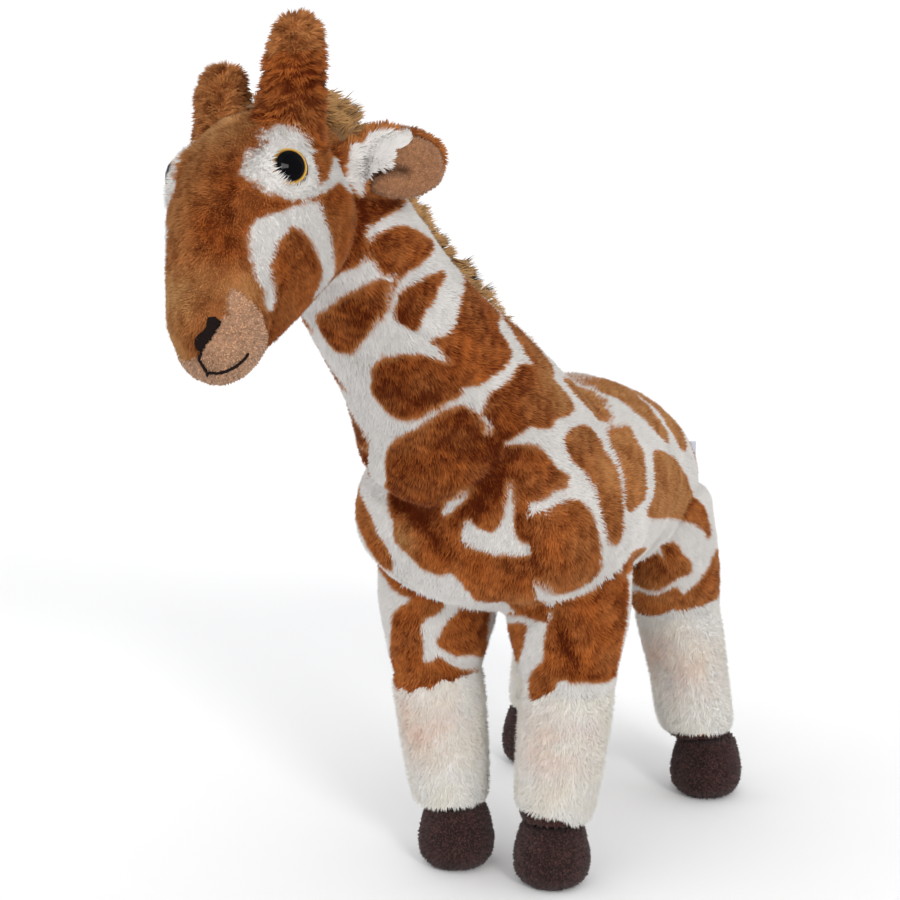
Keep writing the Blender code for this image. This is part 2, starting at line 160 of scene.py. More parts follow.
# SHIN patches are wrapped round an upper leg, as (degrees, z): 0 degrees is its front, 90 is to +X.
SHIN = {
    "front_left": (
        ((8, 120), (9, 125), (15, 126), (25, 127), (35, 128), (43, 129), (50, 131), (56, 134),
         (60, 137), (76, 135), (90, 132), (98, 128), (98, 122), (95, 114), (95, 105), (97, 98),
         (100, 90), (70, 91), (50, 92), (35, 93), (25, 92), (20, 94), (10, 93), (5, 89), (0, 86),
         (-8, 83), (-22, 80), (-42, 84), (-35, 88), (-27, 92), (-18, 96), (-10, 98), (-4, 101),
         (-2, 106), (0, 112), (3, 117)),
        ((-66, 114), (-40, 116), (-20, 119), (0, 121), (9, 122), (10, 130), (-10, 128), (-30, 124),
         (-66, 120)),
        ((-68, 109), (-50, 111), (-35, 113), (-24, 113), (-28, 109), (-33, 105), (-38, 101),
         (-45, 98), (-55, 95), (-72, 93), (-80, 100)),
        ((114, 118), (130, 126), (150, 122), (166, 108), (150, 97), (128, 94), (114, 101)),
        ((-80, 112), (-100, 120), (-140, 118), (-160, 106), (-130, 98), (-92, 100)),
        ((-76, 90), (-110, 95), (-150, 92), (-180, 88), (-180, 78), (-76, 78)),
    ),
    "front_right": (
        ((-68, 127), (-45, 130), (-25, 130), (-10, 130), (10, 130), (32, 126), (34, 120), (28, 115),
         (22, 113), (15, 112), (10, 110), (7, 106), (9, 101), (8, 96), (7, 91), (15, 91), (20, 92),
         (28, 94), (35, 92), (45, 89), (58, 87), (75, 86), (112, 83), (112, 70), (-75, 70),
         (-60, 84), (-45, 92), (-38, 97), (-30, 102), (-25, 107), (-20, 111), (-14, 114), (-5, 116),
         (2, 118), (-4, 120), (-12, 120), (-22, 121), (-32, 124), (-42, 126), (-55, 125)),
        ((32, 107), (36, 110), (43, 112), (45, 116), (60, 117), (80, 114), (86, 104), (95, 97),
         (112, 91), (112, 88), (95, 90), (80, 92), (65, 94), (50, 94), (40, 96), (30, 98),
         (24, 100), (28, 104)),
        ((-86, 112), (-100, 122), (-130, 124), (-152, 112), (-140, 98), (-105, 94), (-86, 100)),
        ((125, 116), (150, 122), (175, 112), (170, 98), (140, 94), (124, 102)),
    ),
    "hind_left": (
        ((-34, 110), (-12, 113), (3, 115), (12, 117), (17, 116), (23, 112), (27, 108), (30, 105),
         (19, 102), (8, 100), (-3, 99), (-12, 100), (-30, 103)),
        ((20, 124), (26, 121), (35, 121), (38, 117), (48, 112), (44, 107), (32, 106), (28, 106),
         (22, 111), (21, 117)),
        ((-57, 91), (-30, 94), (-10, 97), (1, 95), (13, 97), (27, 101), (34, 96), (39, 98),
         (53, 101), (68, 106), (89, 112), (100, 113), (125, 110), (150, 104), (180, 100), (180, 82),
         (94, 82), (48, 80), (-57, 76)),
        ((-60, 110), (-80, 118), (-110, 116), (-124, 106), (-100, 100), (-66, 100)),
        ((-180, 99), (-150, 96), (-110, 92), (-70, 90), (-44, 90), (-44, 76), (-180, 76)),
    ),
    "hind_right": (
        ((-30, 118), (-16, 122), (2, 120), (12, 112), (8, 104), (-10, 102), (-26, 106)),
        ((-60, 116), (-46, 122), (-40, 112), (-48, 103), (-64, 104)),
        ((-100, 116), (-84, 124), (-70, 118), (-76, 106), (-92, 102), (-108, 106)),
        ((-180, 97), (-120, 96), (-80, 98), (-40, 95), (0, 97), (40, 93), (90, 96), (180, 97),
         (180, 76), (-180, 76)),
        ((60, 110), (90, 117), (124, 112), (120, 103), (80, 101)),
    ),
}
# White patches on the brown head, seen from its own side in the head's axes, as (y, z).
CHEEK_WHITE = (
    ((-29.5, 8.5), (-28, 12.5), (-23.5, 16), (-19, 17.5), (-16.5, 20), (-10, 24), (-8.7, 21.3),
     (-7, 19.7), (-6, 17.6), (-4.2, 16.6), (-2.6, 13), (-5.5, 10), (-7, 7), (-7, 3.5), (-9, -2),
     (-17.4, -2.3), (-21.5, -1.6), (-24.5, 0.3), (-27.4, 2), (-28, 5.4)),
    ((-17.4, -2.3), (-22.3, -3.5), (-29.4, -4.2), (-33, -6), (-35, -9), (-36, -12), (-37, -18),
     (-37.4, -22), (-37, -27), (-35, -35), (-34, -37), (-31, -35), (-30, -32), (-32, -24),
     (-29, -17), (-24, -11), (-19, -9), (-12, -5)),
    ((-17, -2), (-10, -3), (-10, -5), (-8, -14), (-1, -25), (4, -30), (2, -37), (-6, -37),
     (-7, -32), (-9, -27), (-14, -20), (-19, -13), (-23, -10), (-22, -4)),
    ((-10, 2), (-3, 4), (3, 8), (8, 10), (14, 9), (24, 4), (24, -5), (12, -4), (8, -2), (3, 1),
     (-2, 0), (-9, -2)),
)
# The white tuft in front of an ear and the edge of its lining, as (out along the ear, up).
EAR_WHITE = (
    (17.4, 12.2), (20.6, 12), (23.8, 10.5), (26.8, 8.5), (28.7, 7.7), (27.3, 6.3), (25.8, 5.5),
    (23.4, 5.3), (20.2, 4.2), (19.8, 2.1), (17.5, -0.7), (15.3, -1.2), (13.7, -0.5), (11.9, -2.6),
    (10.5, -4), (9.9, -6.6), (10.7, -9.5), (7.7, -9.2), (4.4, -5.8), (2.7, -0.8), (3.4, 1.8),
    (5.2, 3.6), (6.1, 7.2), (7.2, 9.1), (10.1, 9), (12.5, 9.6), (13.4, 10.9), (15.8, 11.6),
)
# The bare cloth of the muzzle, seen from the head's own side as (y, z), less the nose strip, whose
# half width is given at some heights.
MUZZLE_CLOTH = (
    (-75, -22), (-60, -22), (-48, -25), (-44, -25.8), (-42.3, -27.3), (-40.8, -30.4),
    (-38.2, -33.8), (-35.6, -37.3), (-33.8, -41.8), (-30.7, -46.1), (-29, -51), (-31, -57),
    (-45, -65), (-75, -65),
)
NOSE_STRIP = (
    (-46.6, -46, -45, -42.4, -39, -36, -34.2, -31, -28.4, -26.5),
    (-5, 8.2, 9, 10.9, 13.8, 15.8, 17.6, 17.3, 17, 17.5),
)
# The nose's middle, and how much wider and further back it is on its far side.
NOSE_MIDDLE = -6.5
NOSE_SPREAD = 1.25
FAR_SIDE_BACK = 10.0
# How far the muzzle's cloth stands off the hide, by its depth inside its edge, and its thickness.
CLOTH_PROUD = ((-1.0, 0.0, 1.0), (-0.7, 0.1, 0.9))
CLOTH_THICK = 0.9
# Stitching, in the head's axes: a nostril's edge and the two ends of its length, as (x, z), the
# muzzle's middle, a plane in front of the face, and the mouth's lines.
NOSTRIL = (
    (7.3, -33.6), (9.4, -33.4), (11.2, -33.9), (10.2, -35.9), (8.8, -38.6), (7.5, -40.3),
    (5.6, -42.1), (3.2, -44.8), (2.3, -43.7), (1.5, -42.1), (2, -40.2), (3.4, -39), (5.2, -37.9),
    (6.5, -36.5), (6.8, -34.9),
)
NOSTRIL_START = (9.6, -33.3)
NOSTRIL_END = (2.7, -44.6)
MUZZLE_MIDDLE = (0.0, -35.0, -42.0)
FACE_FRONT = -54.0
PHILTRUM = (
    (2.7, -54.9, -44.2), (2.2, -54.2, -46.8), (2.5, -53.2, -48.7), (2.6, -52, -50.5),
    (2.6, -51.2, -51.7),
)
SMILE = (
    (1.8, -49.9, -53.2), (2.6, -50.9, -51.9), (4.1, -50.5, -52), (5.3, -49.5, -52.3),
    (6.7, -48.6, -52.2), (8.1, -47.7, -51.9), (9.5, -46.8, -51.3), (10.9, -45.8, -50.6),
    (12.4, -44.7, -49.4), (13.5, -43.6, -48.2), (14, -43.5, -47.2),
)
# The fold across an ear's lining, as (out along the ear, up).
EAR_FOLD = ((9, -5.5), (10.8, -4.8), (13.6, -3.1), (17.3, -2), (21.7, -2.4), (23.9, -3.5))
# How far an eye's rings reach and sit from its middle, and the rings as (radius, colour).
EYE_SPAN = 8.0
PUPIL_SHIFT = (0.0, -1.1, 0.8)
EYE_RINGS = (
    (0.0, (0.001, 0.001, 0.002)), (4.9, (0.001, 0.001, 0.002)), (5.2, (0.26, 0.13, 0.02)),
    (5.8, (0.72, 0.42, 0.08)), (6.4, (0.25, 0.13, 0.03)), (6.8, (0.01, 0.006, 0.003)),
)
# The height where the stocking's pile starts and the one where it ends, by degrees round each leg.
CUFF_LINE = {
    "front_left": ((-120, 86), (-30, 83), (0, 88), (20, 92), (90, 90), (170, 88)),
    "front_right": ((-110, 80), (-40, 77), (0, 79), (40, 83), (70, 84), (160, 83)),
    "hind_left": ((-120, 86), (-40, 84), (0, 87), (20, 90), (100, 91), (180, 88)),
    "hind_right": ((-90, 88), (0, 85), (90, 86), (180, 88)),
}
HEM_LINE = {
    "front_left": ((-60, 34), (0, 33), (45, 29), (100, 27), (180, 28)),
    "front_right": ((-60, 25), (0, 25), (50, 27), (110, 28), (180, 27)),
    "hind_left": ((-60, 29), (0, 31.5), (60, 30.5), (180, 30)),
    "hind_right": ((-90, 29), (0, 28), (90, 30), (180, 29)),
}
# The two seams that bound the chest panel, from the front.
CHEST_SEAMS = {
    "left": ((5, 262), (4, 252), (3, 244), (9, 238), (12, 233), (14, 226), (14.5, 220), (17, 213),
             (20, 206), (23, 200), (25.5, 190), (27.5, 180), (29, 170), (30.5, 160), (31.5, 150),
             (31.5, 140), (29, 126)),
    "right": ((-36, 262), (-27, 240), (-22, 220), (-22, 205), (-25, 195), (-29, 185), (-36, 172),
              (-50, 165), (-51, 150), (-46, 135), (-38, 126)),
}
# The neck's middle, as heights with its Y at each, and as heights with its X at each.
SPINE = ((130, 152, 180, 214, 248, 280), (-60, -60, -72, -104, -134, -158))
NECK_MIDDLE = ((152, 214, 280), (0, -8, -21))


class Fold(NamedTuple):
    """A crease of the plush, from the front: its line, its width and depth, and how much shade is
    painted in it.
    """

    line: tuple
    width: float
    depth: float
    dark: float


FOLDS = (
    Fold(
        ((28, 188), (22, 179), (14, 172), (4, 166), (-5, 162), (-14, 162), (-22, 164), (-31, 169)),
        4.0, 4.2, 0.25,
    ),
    Fold(((22, 186), (20, 181), (17, 178), (14, 173.5), (11, 169.5), (8, 163)), 4.4, 0.8, 0.65),
    Fold(((-26, 164), (-18.5, 161.5), (-11.5, 158), (-6.5, 153), (-2.5, 146.5)), 3.6, 1.8, 1.15),
    Fold(((22, 205), (21.3, 198), (21.5, 193), (20.6, 186)), 1.6, 1.2, 0.15),
    Fold(((24.5, 166), (27.5, 158.5), (30, 153), (32.5, 148), (34, 141), (34, 134)), 1.5, 1.3, 0.8),
    Fold(((31.5, 121.5), (34.3, 113.7), (36.3, 108.5), (38.1, 102), (40.2, 95)), 2.2, 1.6, 0.9),
    Fold(CHEST_SEAMS["left"], 1.5, 1.0, 0.25),
    Fold(CHEST_SEAMS["right"], 1.5, 1.0, 0.25),
)


class Swell(NamedTuple):
    """A place where the skin stands out, or in where the rise is negative, and its reach."""

    place: tuple
    reach: float
    rise: float


SWELLS = (
    Swell((-40, -104, 177), 18.0, 3.4),
    Swell((12, -86, 120), 11.0, -6.0),
    Swell((-33, -241, 247), 8.0, -2.2),
    Swell((-53, -190, 333), 7.0, 2.6),
    Swell((-54.5, -190.5, 314), 6.0, -1.6),
    Swell((27, 45, 36), 13.0, 2.4),
)
# How far a leg's skin stands off to the toy's left of its solid.
LEG_SLIP = {"front_left": -0.9, "front_right": -0.8, "hind_left": 0.0, "hind_right": 0.0}


def linear(*srgb):
    """A colour given as 0-255 sRGB, in the linear values that shaders take."""
    share = np.array(srgb) / 255
    low = share / 12.92
    high = ((share + 0.055) / 1.055) ** 2.4
    return tuple(float(value) for value in np.where(share <= 0.04045, low, high))


# Colours that are no setting: the fringe of a patch, the stockings' ivory stain, the black thread's
# strands, the label's weave, the floor, and the gleam on the short pile.
FRINGE_ROOT = linear(150, 80, 34)
FRINGE_TIP = linear(206, 140, 84)
IVORY = linear(246, 234, 206)
THREAD_DARK = linear(6, 4, 4)
THREAD_LIGHT = linear(34, 22, 20)
SATIN_DARK = linear(196, 206, 224)
SATIN_LIGHT = linear(222, 228, 240)
FLOOR_TONES = ((0.93, 0.93, 0.94), (0.95, 0.95, 0.95))
WARM_SHEEN = (1.0, 0.82, 0.64, 1.0)


def pile_length(name, where, millimetres, least=1.0):
    """A setting for the length of one kind of tuft."""
    return FloatProperty(
        name=name,
        description=f"Length of {where}, in millimetres",
        default=millimetres,
        min=least,
    )


def fabric_colour(name, description, *srgb):
    """A setting for the colour of one fabric."""
    return FloatVectorProperty(
        name=name,
        description=description,
        default=linear(*srgb),
        subtype="COLOR",
        min=0.0,
        max=1.0,
    )


class ToySizes(bpy.types.PropertyGroup):
    """Sizes of the toy's fabrics."""

    body_pile: pile_length("Body pile", "the tufts on trunk, neck and legs", 2.2)
    face_pile: pile_length("Face pile", "the tufts on the head", 2.0)
    sock_pile: pile_length("Stocking pile", "the tufts on the stockings", 2.8)
    mane_pile: pile_length("Mane pile", "the locks of the mane", 11.0, least=2.0)
    fullness: FloatProperty(
        name="Fullness",
        description="Share of the full number of tufts that grows",
        default=1.0,
        min=0.05,
        max=1.0,
        subtype="FACTOR",
    )


class ToyColours(bpy.types.PropertyGroup):
    """Colours of the toy's fabrics."""

    brown: fabric_colour("Patch brown", "Tips of the pile in the brown patches", 202, 114, 53)
    # The root colours here and below are painted shade deep in the pile, in its folds and at its
    # joins.
    brown_root: fabric_colour("Patch root", "Roots of the pile in the brown patches", 92, 34, 8)
    # The paled brown is partly the pile's own paler tone and partly painted light, where the pile
    # faces up, lies further back on the body and on parts of the face.
    tan: fabric_colour("Paled brown", "Tips of the brown pile where it has paled", 216, 166, 109)
    tan_root: fabric_colour("Paled root", "Roots of the brown pile where it has paled", 150, 88, 44)
    blush: fabric_colour("Blush", "Pink stain on the stockings", 240, 200, 180)
    cream: fabric_colour("Cream", "Pile between the patches", 244, 240, 236)
    stocking: fabric_colour("Stocking", "Pile of the stockings", 252, 250, 245)
    hoof: fabric_colour("Hoof", "Terry cloth of the hooves", 84, 57, 54)
    muzzle: fabric_colour("Muzzle", "Terry cloth of the muzzle", 226, 175, 138)
    lining: fabric_colour("Ear lining", "Terry cloth of the ear linings", 192, 136, 96)
    mane: fabric_colour(
        "Mane", "Locks of the mane, the tail's tuft and the tips of the horns", 210, 160, 102
    )


# ---------------------------------------------------------------- places and outlines


def to_toy(points):
    """Points in metres of the frame, as toy millimetres."""
    return (np.asarray(points, float) - np.array(ORIGIN)) / MM


def to_frame(points):
    """Toy millimetres as points in metres of the frame."""
    return np.asarray(points, float) * MM + np.array(ORIGIN)


def in_head(points):
    """Toy millimetres in the head's own axes: X to the toy's left, -Y forward, Z to the crown."""
    return (points - SKULL) @ HEAD_TURN


def from_head(points):
    """Places in the head's own axes, as toy millimetres."""
    return np.asarray(points, float) @ HEAD_TURN.T + SKULL


def unit(vectors):
    """Vectors made one long."""
    length = np.linalg.norm(vectors, axis=-1, keepdims=True)
    return vectors / np.maximum(length, 1e-9)


def ripple(points, size, seed):
    """A smooth pattern over space, about -1 to 1, with features of that many millimetres."""
    rng = np.random.default_rng(seed)
    total = np.zeros(len(points))
    waves = 7
    for _ in range(waves):
        way = unit(rng.normal(size=3)) * rng.uniform(0.7, 1.5) * math.pi / size
        total += np.sin(points @ way + rng.uniform(0, 2 * math.pi))
    return total / math.sqrt(waves)


# How much of each end of a straight edge is cut off to round an outline.
CORNER = 0.22
# The depth that stands for well inside an outline, and, below 0, for well outside it.
WELL_INSIDE = 4.0


def rounded(outline):
    """An outline with its corners cut, and cut again."""
    points = np.array(outline, float)
    for _ in range(2):
        after = np.roll(points, -1, axis=0)
        first = points * (1 - CORNER) + after * CORNER
        second = points * CORNER + after * (1 - CORNER)
        points = np.stack([first, second], 1).reshape(-1, 2)
    return points


def reach(flat, start, end):
    """How far each flat point is from the straight line between two points."""
    along = end - start
    share = np.clip((flat - start) @ along / max(along @ along, 1e-9), 0, 1)
    return np.linalg.norm(flat - start - share[:, None] * along, axis=1)


def depth_inside(flat, outlines):
    """How far inside any of the outlines each flat point is, negative outside them all."""
    best = np.full(len(flat), -WELL_INSIDE)
    for outline in outlines:
        corners = rounded(outline)
        low, high = corners.min(0) - WELL_INSIDE, corners.max(0) + WELL_INSIDE
        near = ((flat > low) & (flat < high)).all(1)
        if not near.any():
            continue
        here = flat[near]
        distance = np.full(len(here), np.inf)
        inside = np.zeros(len(here), bool)
        for start, end in zip(corners, np.roll(corners, -1, axis=0)):
            distance = np.minimum(distance, reach(here, start, end))
            spans = (start[1] > here[:, 1]) != (end[1] > here[:, 1])
            rise = end[1] - start[1]
            if rise:
                crossing = start[0] + (here[:, 1] - start[1]) * (end[0] - start[0]) / rise
                inside ^= spans & (here[:, 0] < crossing)
        best[near] = np.maximum(best[near], np.where(inside, distance, -distance))
    return best


def from_line(flat, points):
    """How far each flat point is from a line through the given points."""
    points = np.array(points, float)
    return np.min([reach(flat, start, end) for start, end in zip(points, points[1:])], axis=0)


def seam_x(side, heights):
    """Where the chest panel's seam runs at each height."""
    x, z = np.array(CHEST_SEAMS[side], float).T
    return np.interp(heights, z[::-1], x[::-1])


def leg_centre(leg, heights):
    """The centre line of a leg at each height, as (x, y)."""
    end, side = leg.split("_")
    hip, cuff = (np.array(spot) * (SIDES[side], 1) for spot in LEG_LINES[end])
    share = (heights - CUFF_HEIGHT) / (HIP_HEIGHT - CUFF_HEIGHT)
    return cuff + (hip - cuff) * share[:, None]


def leg_angle(leg, points):
    """Degrees round a leg from its front, positive to the toy's left."""
    out = points[:, :2] - leg_centre(leg, points[:, 2])
    return np.degrees(np.arctan2(out[:, 0], -out[:, 1]))


# ---------------------------------------------------------------- markings

OWNERS = ("trunk", "neck", "head", *(f"leg_{leg}" for leg in LEGS), "horn_left", "horn_right",
          "ear_left", "ear_right", "tail", "muzzle")
OWNER = {name: index for index, name in enumerate(OWNERS)}
# How ragged and how wide the edge between brown and cream is.
EDGE_RAGGED = 0.28
EDGE_WIDTH = 1.7
# The height of the top of the legs' own patches, and the radius that their outlines are laid round.
LEG_TOP = 117.0
SHIN_RADIUS = 18
# The top of the chest panel, and how far in front of the spine it starts.
CHEST_TOP = 262
CHEST_FRONT = 6
# Below this height, skin that faces down at least this much is the white belly, this deep in white.
BELLY_TOP = 135
BELLY_FACING = -0.75
BELLY_DEPTH = -2
# How far from the head's middle the white round each eye may start.
EYE_WHITE_START = {"left": 9.5, "right": 16.0}
# How far in front of and behind an ear's middle its white tuft reaches, and where a horn's paler
# tip starts, in the head's axes.
EAR_DEEP = 9
HORN_TIP = 46


def owned_by(owner, *names):
    """Which points belong to nodes whose names start so."""
    return np.isin(owner, [index for name, index in OWNER.items() if name.startswith(names)])


def body_depth(points, normals):
    """Depth inside the brown patches of trunk and neck."""
    front = points[:, [0, 2]]
    side = points[:, [1, 2]]
    left_seam = seam_x("left", points[:, 2])
    right_seam = seam_x("right", points[:, 2])
    chest = (points[:, 0] < left_seam) & (points[:, 0] > right_seam) & (points[:, 2] < CHEST_TOP)
    chest &= points[:, 1] < np.interp(points[:, 2], *SPINE) - CHEST_FRONT
    depth = np.full(len(points), -WELL_INSIDE)
    depth[chest] = np.minimum(
        depth_inside(front[chest], CHEST), -depth_inside(front[chest], CHEST_WHITE)
    )
    middle = np.interp(points[:, 2], *NECK_MIDDLE)
    for name, way in SIDES.items():
        here = ~chest & (way * (points[:, 0] - middle) >= 0)
        depth[here] = depth_inside(side[here], FLANK[name])
    belly = (normals[:, 2] < BELLY_FACING) & (points[:, 2] < BELLY_TOP)
    depth[belly & ~chest] = np.minimum(depth[belly & ~chest], BELLY_DEPTH)
    return depth


def head_depth(points):
    """Depth in the brown of the head, outside its white patches."""
    local = in_head(points)
    white = depth_inside(local[:, 1:], CHEEK_WHITE)
    start = np.where(local[:, 0] > 0, EYE_WHITE_START["left"], EYE_WHITE_START["right"])
    return -np.minimum(white, np.abs(local[:, 0]) - start)


def ear_place(points, side):
    """Places on an ear, as (out along it, up) and how far in front of its middle they are."""
    local = (in_head(points) * (SIDES[side], 1, 1)) - EAR_ROOT
    out = unit(np.array(EAR_OUT))
    front = np.array((out[1], -out[0], 0))
    return np.stack([local @ out, local[:, 2]], 1), local @ front


def beside_fluff(flat):
    """0 below the white tuft of an ear's lining, 1 beside it."""
    return (0.5 - depth_inside(flat, (EAR_WHITE,))).clip(0, 1)


def clear_of_ears(points):
    """0 in the white tufts in front of the ears, 1 away from them."""
    clear = np.ones(len(points))
    for side in SIDES:
        flat, front = ear_place(points, side)
        clear = np.where(np.abs(front) < EAR_DEEP, np.minimum(clear, beside_fluff(flat)), clear)
    return clear


def ear_depth(points, side):
    """Depth in the brown of an ear, whose front has a white tuft at its root."""
    flat, front = ear_place(points, side)
    return np.where(front > 0, -depth_inside(flat, (EAR_WHITE,)), WELL_INSIDE)


def shin_depth(leg, points):
    """Depth in the patches of an upper leg, with each outline laid round the leg."""
    width = SHIN_RADIUS * math.pi / 180
    flat = np.stack([leg_angle(leg, points) * width, points[:, 2]], 1)
    outlines = [np.array(outline, float) * (width, 1) for outline in SHIN[leg]]
    return depth_inside(flat, outlines)


def near_side(across):
    """Places across the nose, with those of its far side folded over to its near side."""
    out = across - NOSE_MIDDLE
    return NOSE_MIDDLE + np.where(out > 0, out, -out / NOSE_SPREAD)


def cloth_depth(points):
    """How far inside the bare cloth of the muzzle each point is."""
    local = in_head(points)
    beside = depth_inside(local[:, 1:], (MUZZLE_CLOTH,))
    strip = near_side(local[:, 0]) - NOSE_MIDDLE - np.interp(local[:, 2], *NOSE_STRIP)
    return np.where(local[:, 2] > NOSE_STRIP[0][0], np.minimum(beside, strip), beside)


def brown_at(points, normals, owner):
    """How brown the pile is: 0 is cream, 1 is the brown of a patch's middle."""
    depth = np.full(len(points), WELL_INSIDE)
    body = owned_by(owner, "trunk", "neck") | (owned_by(owner, "leg") & (points[:, 2] > LEG_TOP))
    depth[body] = body_depth(points[body], normals[body])
    head = owned_by(owner, "head", "muzzle", "horn") & (in_head(points)[:, 2] < HORN_FOOT)
    depth[head] = head_depth(points[head])
    for side in SIDES:
        here = owned_by(owner, f"ear_{side}")
        depth[here] = ear_depth(points[here], side)
    for leg in LEGS:
        here = owner == OWNER[f"leg_{leg}"]
        shin = shin_depth(leg, points[here])
        above = points[here][:, 2] > LEG_TOP
        depth[here] = np.where(above, np.maximum(shin, depth[here]), shin)
    ragged = ripple(points, 3.0, 5) * EDGE_RAGGED + ripple(points, 1.3, 6) * EDGE_RAGGED
    return np.clip((depth + ragged + EDGE_WIDTH / 2) / EDGE_WIDTH, 0, 1)


# How far the brown turns to tan: painted sheen by how far back on the body, painted light by how
# far left on the face and how high on the nose, and more tan by how high on the hind legs it is.
BODY_PAINTED_SHEEN = ((-105, -80, -45, 0, 60), (0.06, 0.28, 0.52, 0.65, 0.65))
FACE_PAINTED_LIGHT = ((-9, 0, 8, 16), (0.5, 0.14, 0.0, 0.1))
NOSE_PAINTED_LIGHT = ((-36, -28), (0.3, 0.62))
THIGH_CAST = ((138, 152), (0.25, 0.6))


def tan_and_painted_light_at(points, normals, owner):
    """How far the brown of each place turns to tan: painted light where the pile faces up, further
    back on the body, across the face, on the nose's top and the crown, and the pile's own paler
    tone on the neck's back, the shoulder, a chest spot, the hind legs, horns and ears.
    """
    # Painted sheen further back on the body, and painted light where the pile faces up.
    cast = np.interp(points[:, 1], *BODY_PAINTED_SHEEN)
    cast = cast + 0.1 * normals[:, 2].clip(0, 1)
    local = in_head(points)
    # Painted light on the face: to one side of it, on top of the nose and on the crown.
    painted_face_light = np.interp(local[:, 0], *FACE_PAINTED_LIGHT)
    nose = ((-15 - local[:, 2]) / 9).clip(0, 1) * np.interp(local[:, 2], *NOSE_PAINTED_LIGHT)
    nose = nose * ((-28 - local[:, 1]) / 8).clip(0, 1)
    crown = ((local[:, 2] - 8) / 14).clip(0, 1) * 0.55
    ridge = points[:, 0] - np.interp(points[:, 2], *NECK_MIDDLE)
    golden = np.exp(-((ridge / 17) ** 2)) * ((points[:, 2] - 185) / 20).clip(0, 1)
    behind = (points[:, 1] - np.interp(points[:, 2], *SPINE)) > 2
    neck = owned_by(owner, "neck", "trunk") & behind
    cast = np.where(neck, np.maximum(cast, golden * 0.75), cast)
    cast = np.where(owned_by(owner, "head", "muzzle"), painted_face_light + nose + crown, cast)
    cast = np.where(owned_by(owner, "leg_front"), 0.06, cast)
    cast = np.where(owned_by(owner, "leg_hind"), np.interp(points[:, 2], *THIGH_CAST), cast)
    high = local[:, 2] > HORN_TIP
    tips = owned_by(owner, "horn_left") & high | owned_by(owner, "horn_right")
    cast = np.where(owned_by(owner, "horn"), np.where(tips, 0.4, 0.05), cast)
    cast = np.where(owned_by(owner, "ear"), 0.3, cast)
    spot = np.exp(-((points[:, 0] + 23) ** 2 + (points[:, 2] - 150) ** 2) / 50)
    cast = cast + 0.95 * spot * (owned_by(owner, "trunk") & (points[:, 1] < -70))
    shoulder = np.linalg.norm(points - (31, -68, 206), axis=1) / 17
    cast = cast + 0.8 * np.exp(-(shoulder**2))
    return (cast + ripple(points, 9, 8) * 0.08).clip(0, 1)


def folded_front(points, normals, owner):
    """Which points lie on the toy's front, where its folds are."""
    front = (normals[:, 1] < 0.2) & (points[:, 1] < -50)
    return owned_by(owner, "trunk", "neck", "leg_front") & front


def painted_fold_shade(points, normals, owner):
    """How much shade is painted on each point of the front for its folds, most on a fold's line."""
    front = folded_front(points, normals, owner)
    flat = points[front][:, [0, 2]]
    deep = np.zeros(len(points))
    found = [
        fold.dark * np.exp(-((from_line(flat, fold.line) / fold.width) ** 2)) for fold in FOLDS
    ]
    deep[front] = np.max(found, axis=0)
    return deep * (0.62 + ripple(points, 6, 12) * 0.22)


def lie_at(points, normals, owner):
    """The way the pile lies, along the surface: back down the neck, down the legs and the face."""
    way = np.zeros((len(points), 3)) + (0, 0.45, -0.9)
    way[owned_by(owner, "neck")] = (0.12, 0.62, -0.78)
    way[owned_by(owner, "head", "muzzle")] = HEAD_TURN @ (0, -0.35, -0.93)
    way[owned_by(owner, "horn")] = HEAD_TURN @ (0, 0, -1)
    for side, sign in SIDES.items():
        way[owned_by(owner, f"ear_{side}")] = HEAD_TURN @ (sign * 0.55, 0.8, -0.1)
    way[owned_by(owner, "trunk") & (points[:, 1] < -70)] = (0, 0.15, -1)
    way = way + np.stack([ripple(points, 16, seed) for seed in (21, 22, 23)], 1) * 0.28
    along = way - normals * (way * normals).sum(1, keepdims=True)
    return unit(along)


# ---------------------------------------------------------------- skins

# How much solids grow before they are gathered into one skin, so that those that only touch join.
GATHER_SWELL = 0.4
# How far outside a solid's box a point may be and still belong to it.
OWNER_REACH = 12


def mesh_arrays(mesh):
    """A mesh's places in toy millimetres, its vertex normals and its triangles."""
    mesh.calc_loop_triangles()
    places = np.empty(len(mesh.vertices) * 3)
    mesh.vertices.foreach_get("co", places)
    normals = np.empty(len(mesh.vertices) * 3)
    mesh.vertex_normals.foreach_get("vector", normals)
    triangles = np.empty(len(mesh.loop_triangles) * 3, np.int64)
    mesh.loop_triangles.foreach_get("vertices", triangles)
    return to_toy(places.reshape(-1, 3)), normals.reshape(-1, 3), triangles.reshape(-1, 3)


def place_vertices(mesh, places):
    """Moves a mesh's vertices to the given toy millimetres."""
    mesh.vertices.foreach_set("co", to_frame(places).ravel())
    mesh.update()


def welded(node, swell=0.0):
    """A copy of a solid as one bmesh, larger all round by that many metres."""
    bm = bmesh.new()
    bm.from_mesh(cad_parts[node].data)
    bmesh.ops.remove_doubles(bm, verts=bm.verts, dist=1e-6)
    bm.normal_update()
    shifts = [vert.normal * swell for vert in bm.verts]
    for vert, shift in zip(bm.verts, shifts):
        vert.co += shift
    return bm


def remeshed(nodes, voxel):
    """One even, closed mesh round some solids."""
    mesh = bpy.data.meshes.new("gathered")
    whole = bmesh.new()
    for node in nodes:
        part = welded(node, GATHER_SWELL * MM)
        part.to_mesh(mesh)
        part.free()
        whole.from_mesh(mesh)
    whole.to_mesh(mesh)
    whole.free()
    source = add_object("gathered", mesh)
    remesh = source.modifiers.new("remesh", "REMESH")
    remesh.mode = "VOXEL"
    remesh.voxel_size = voxel * MM
    graph = bpy.context.evaluated_depsgraph_get()
    result = bpy.data.meshes.new_from_object(source.evaluated_get(graph))
    bpy.data.objects.remove(source)
    bpy.data.meshes.remove(mesh)
    return result


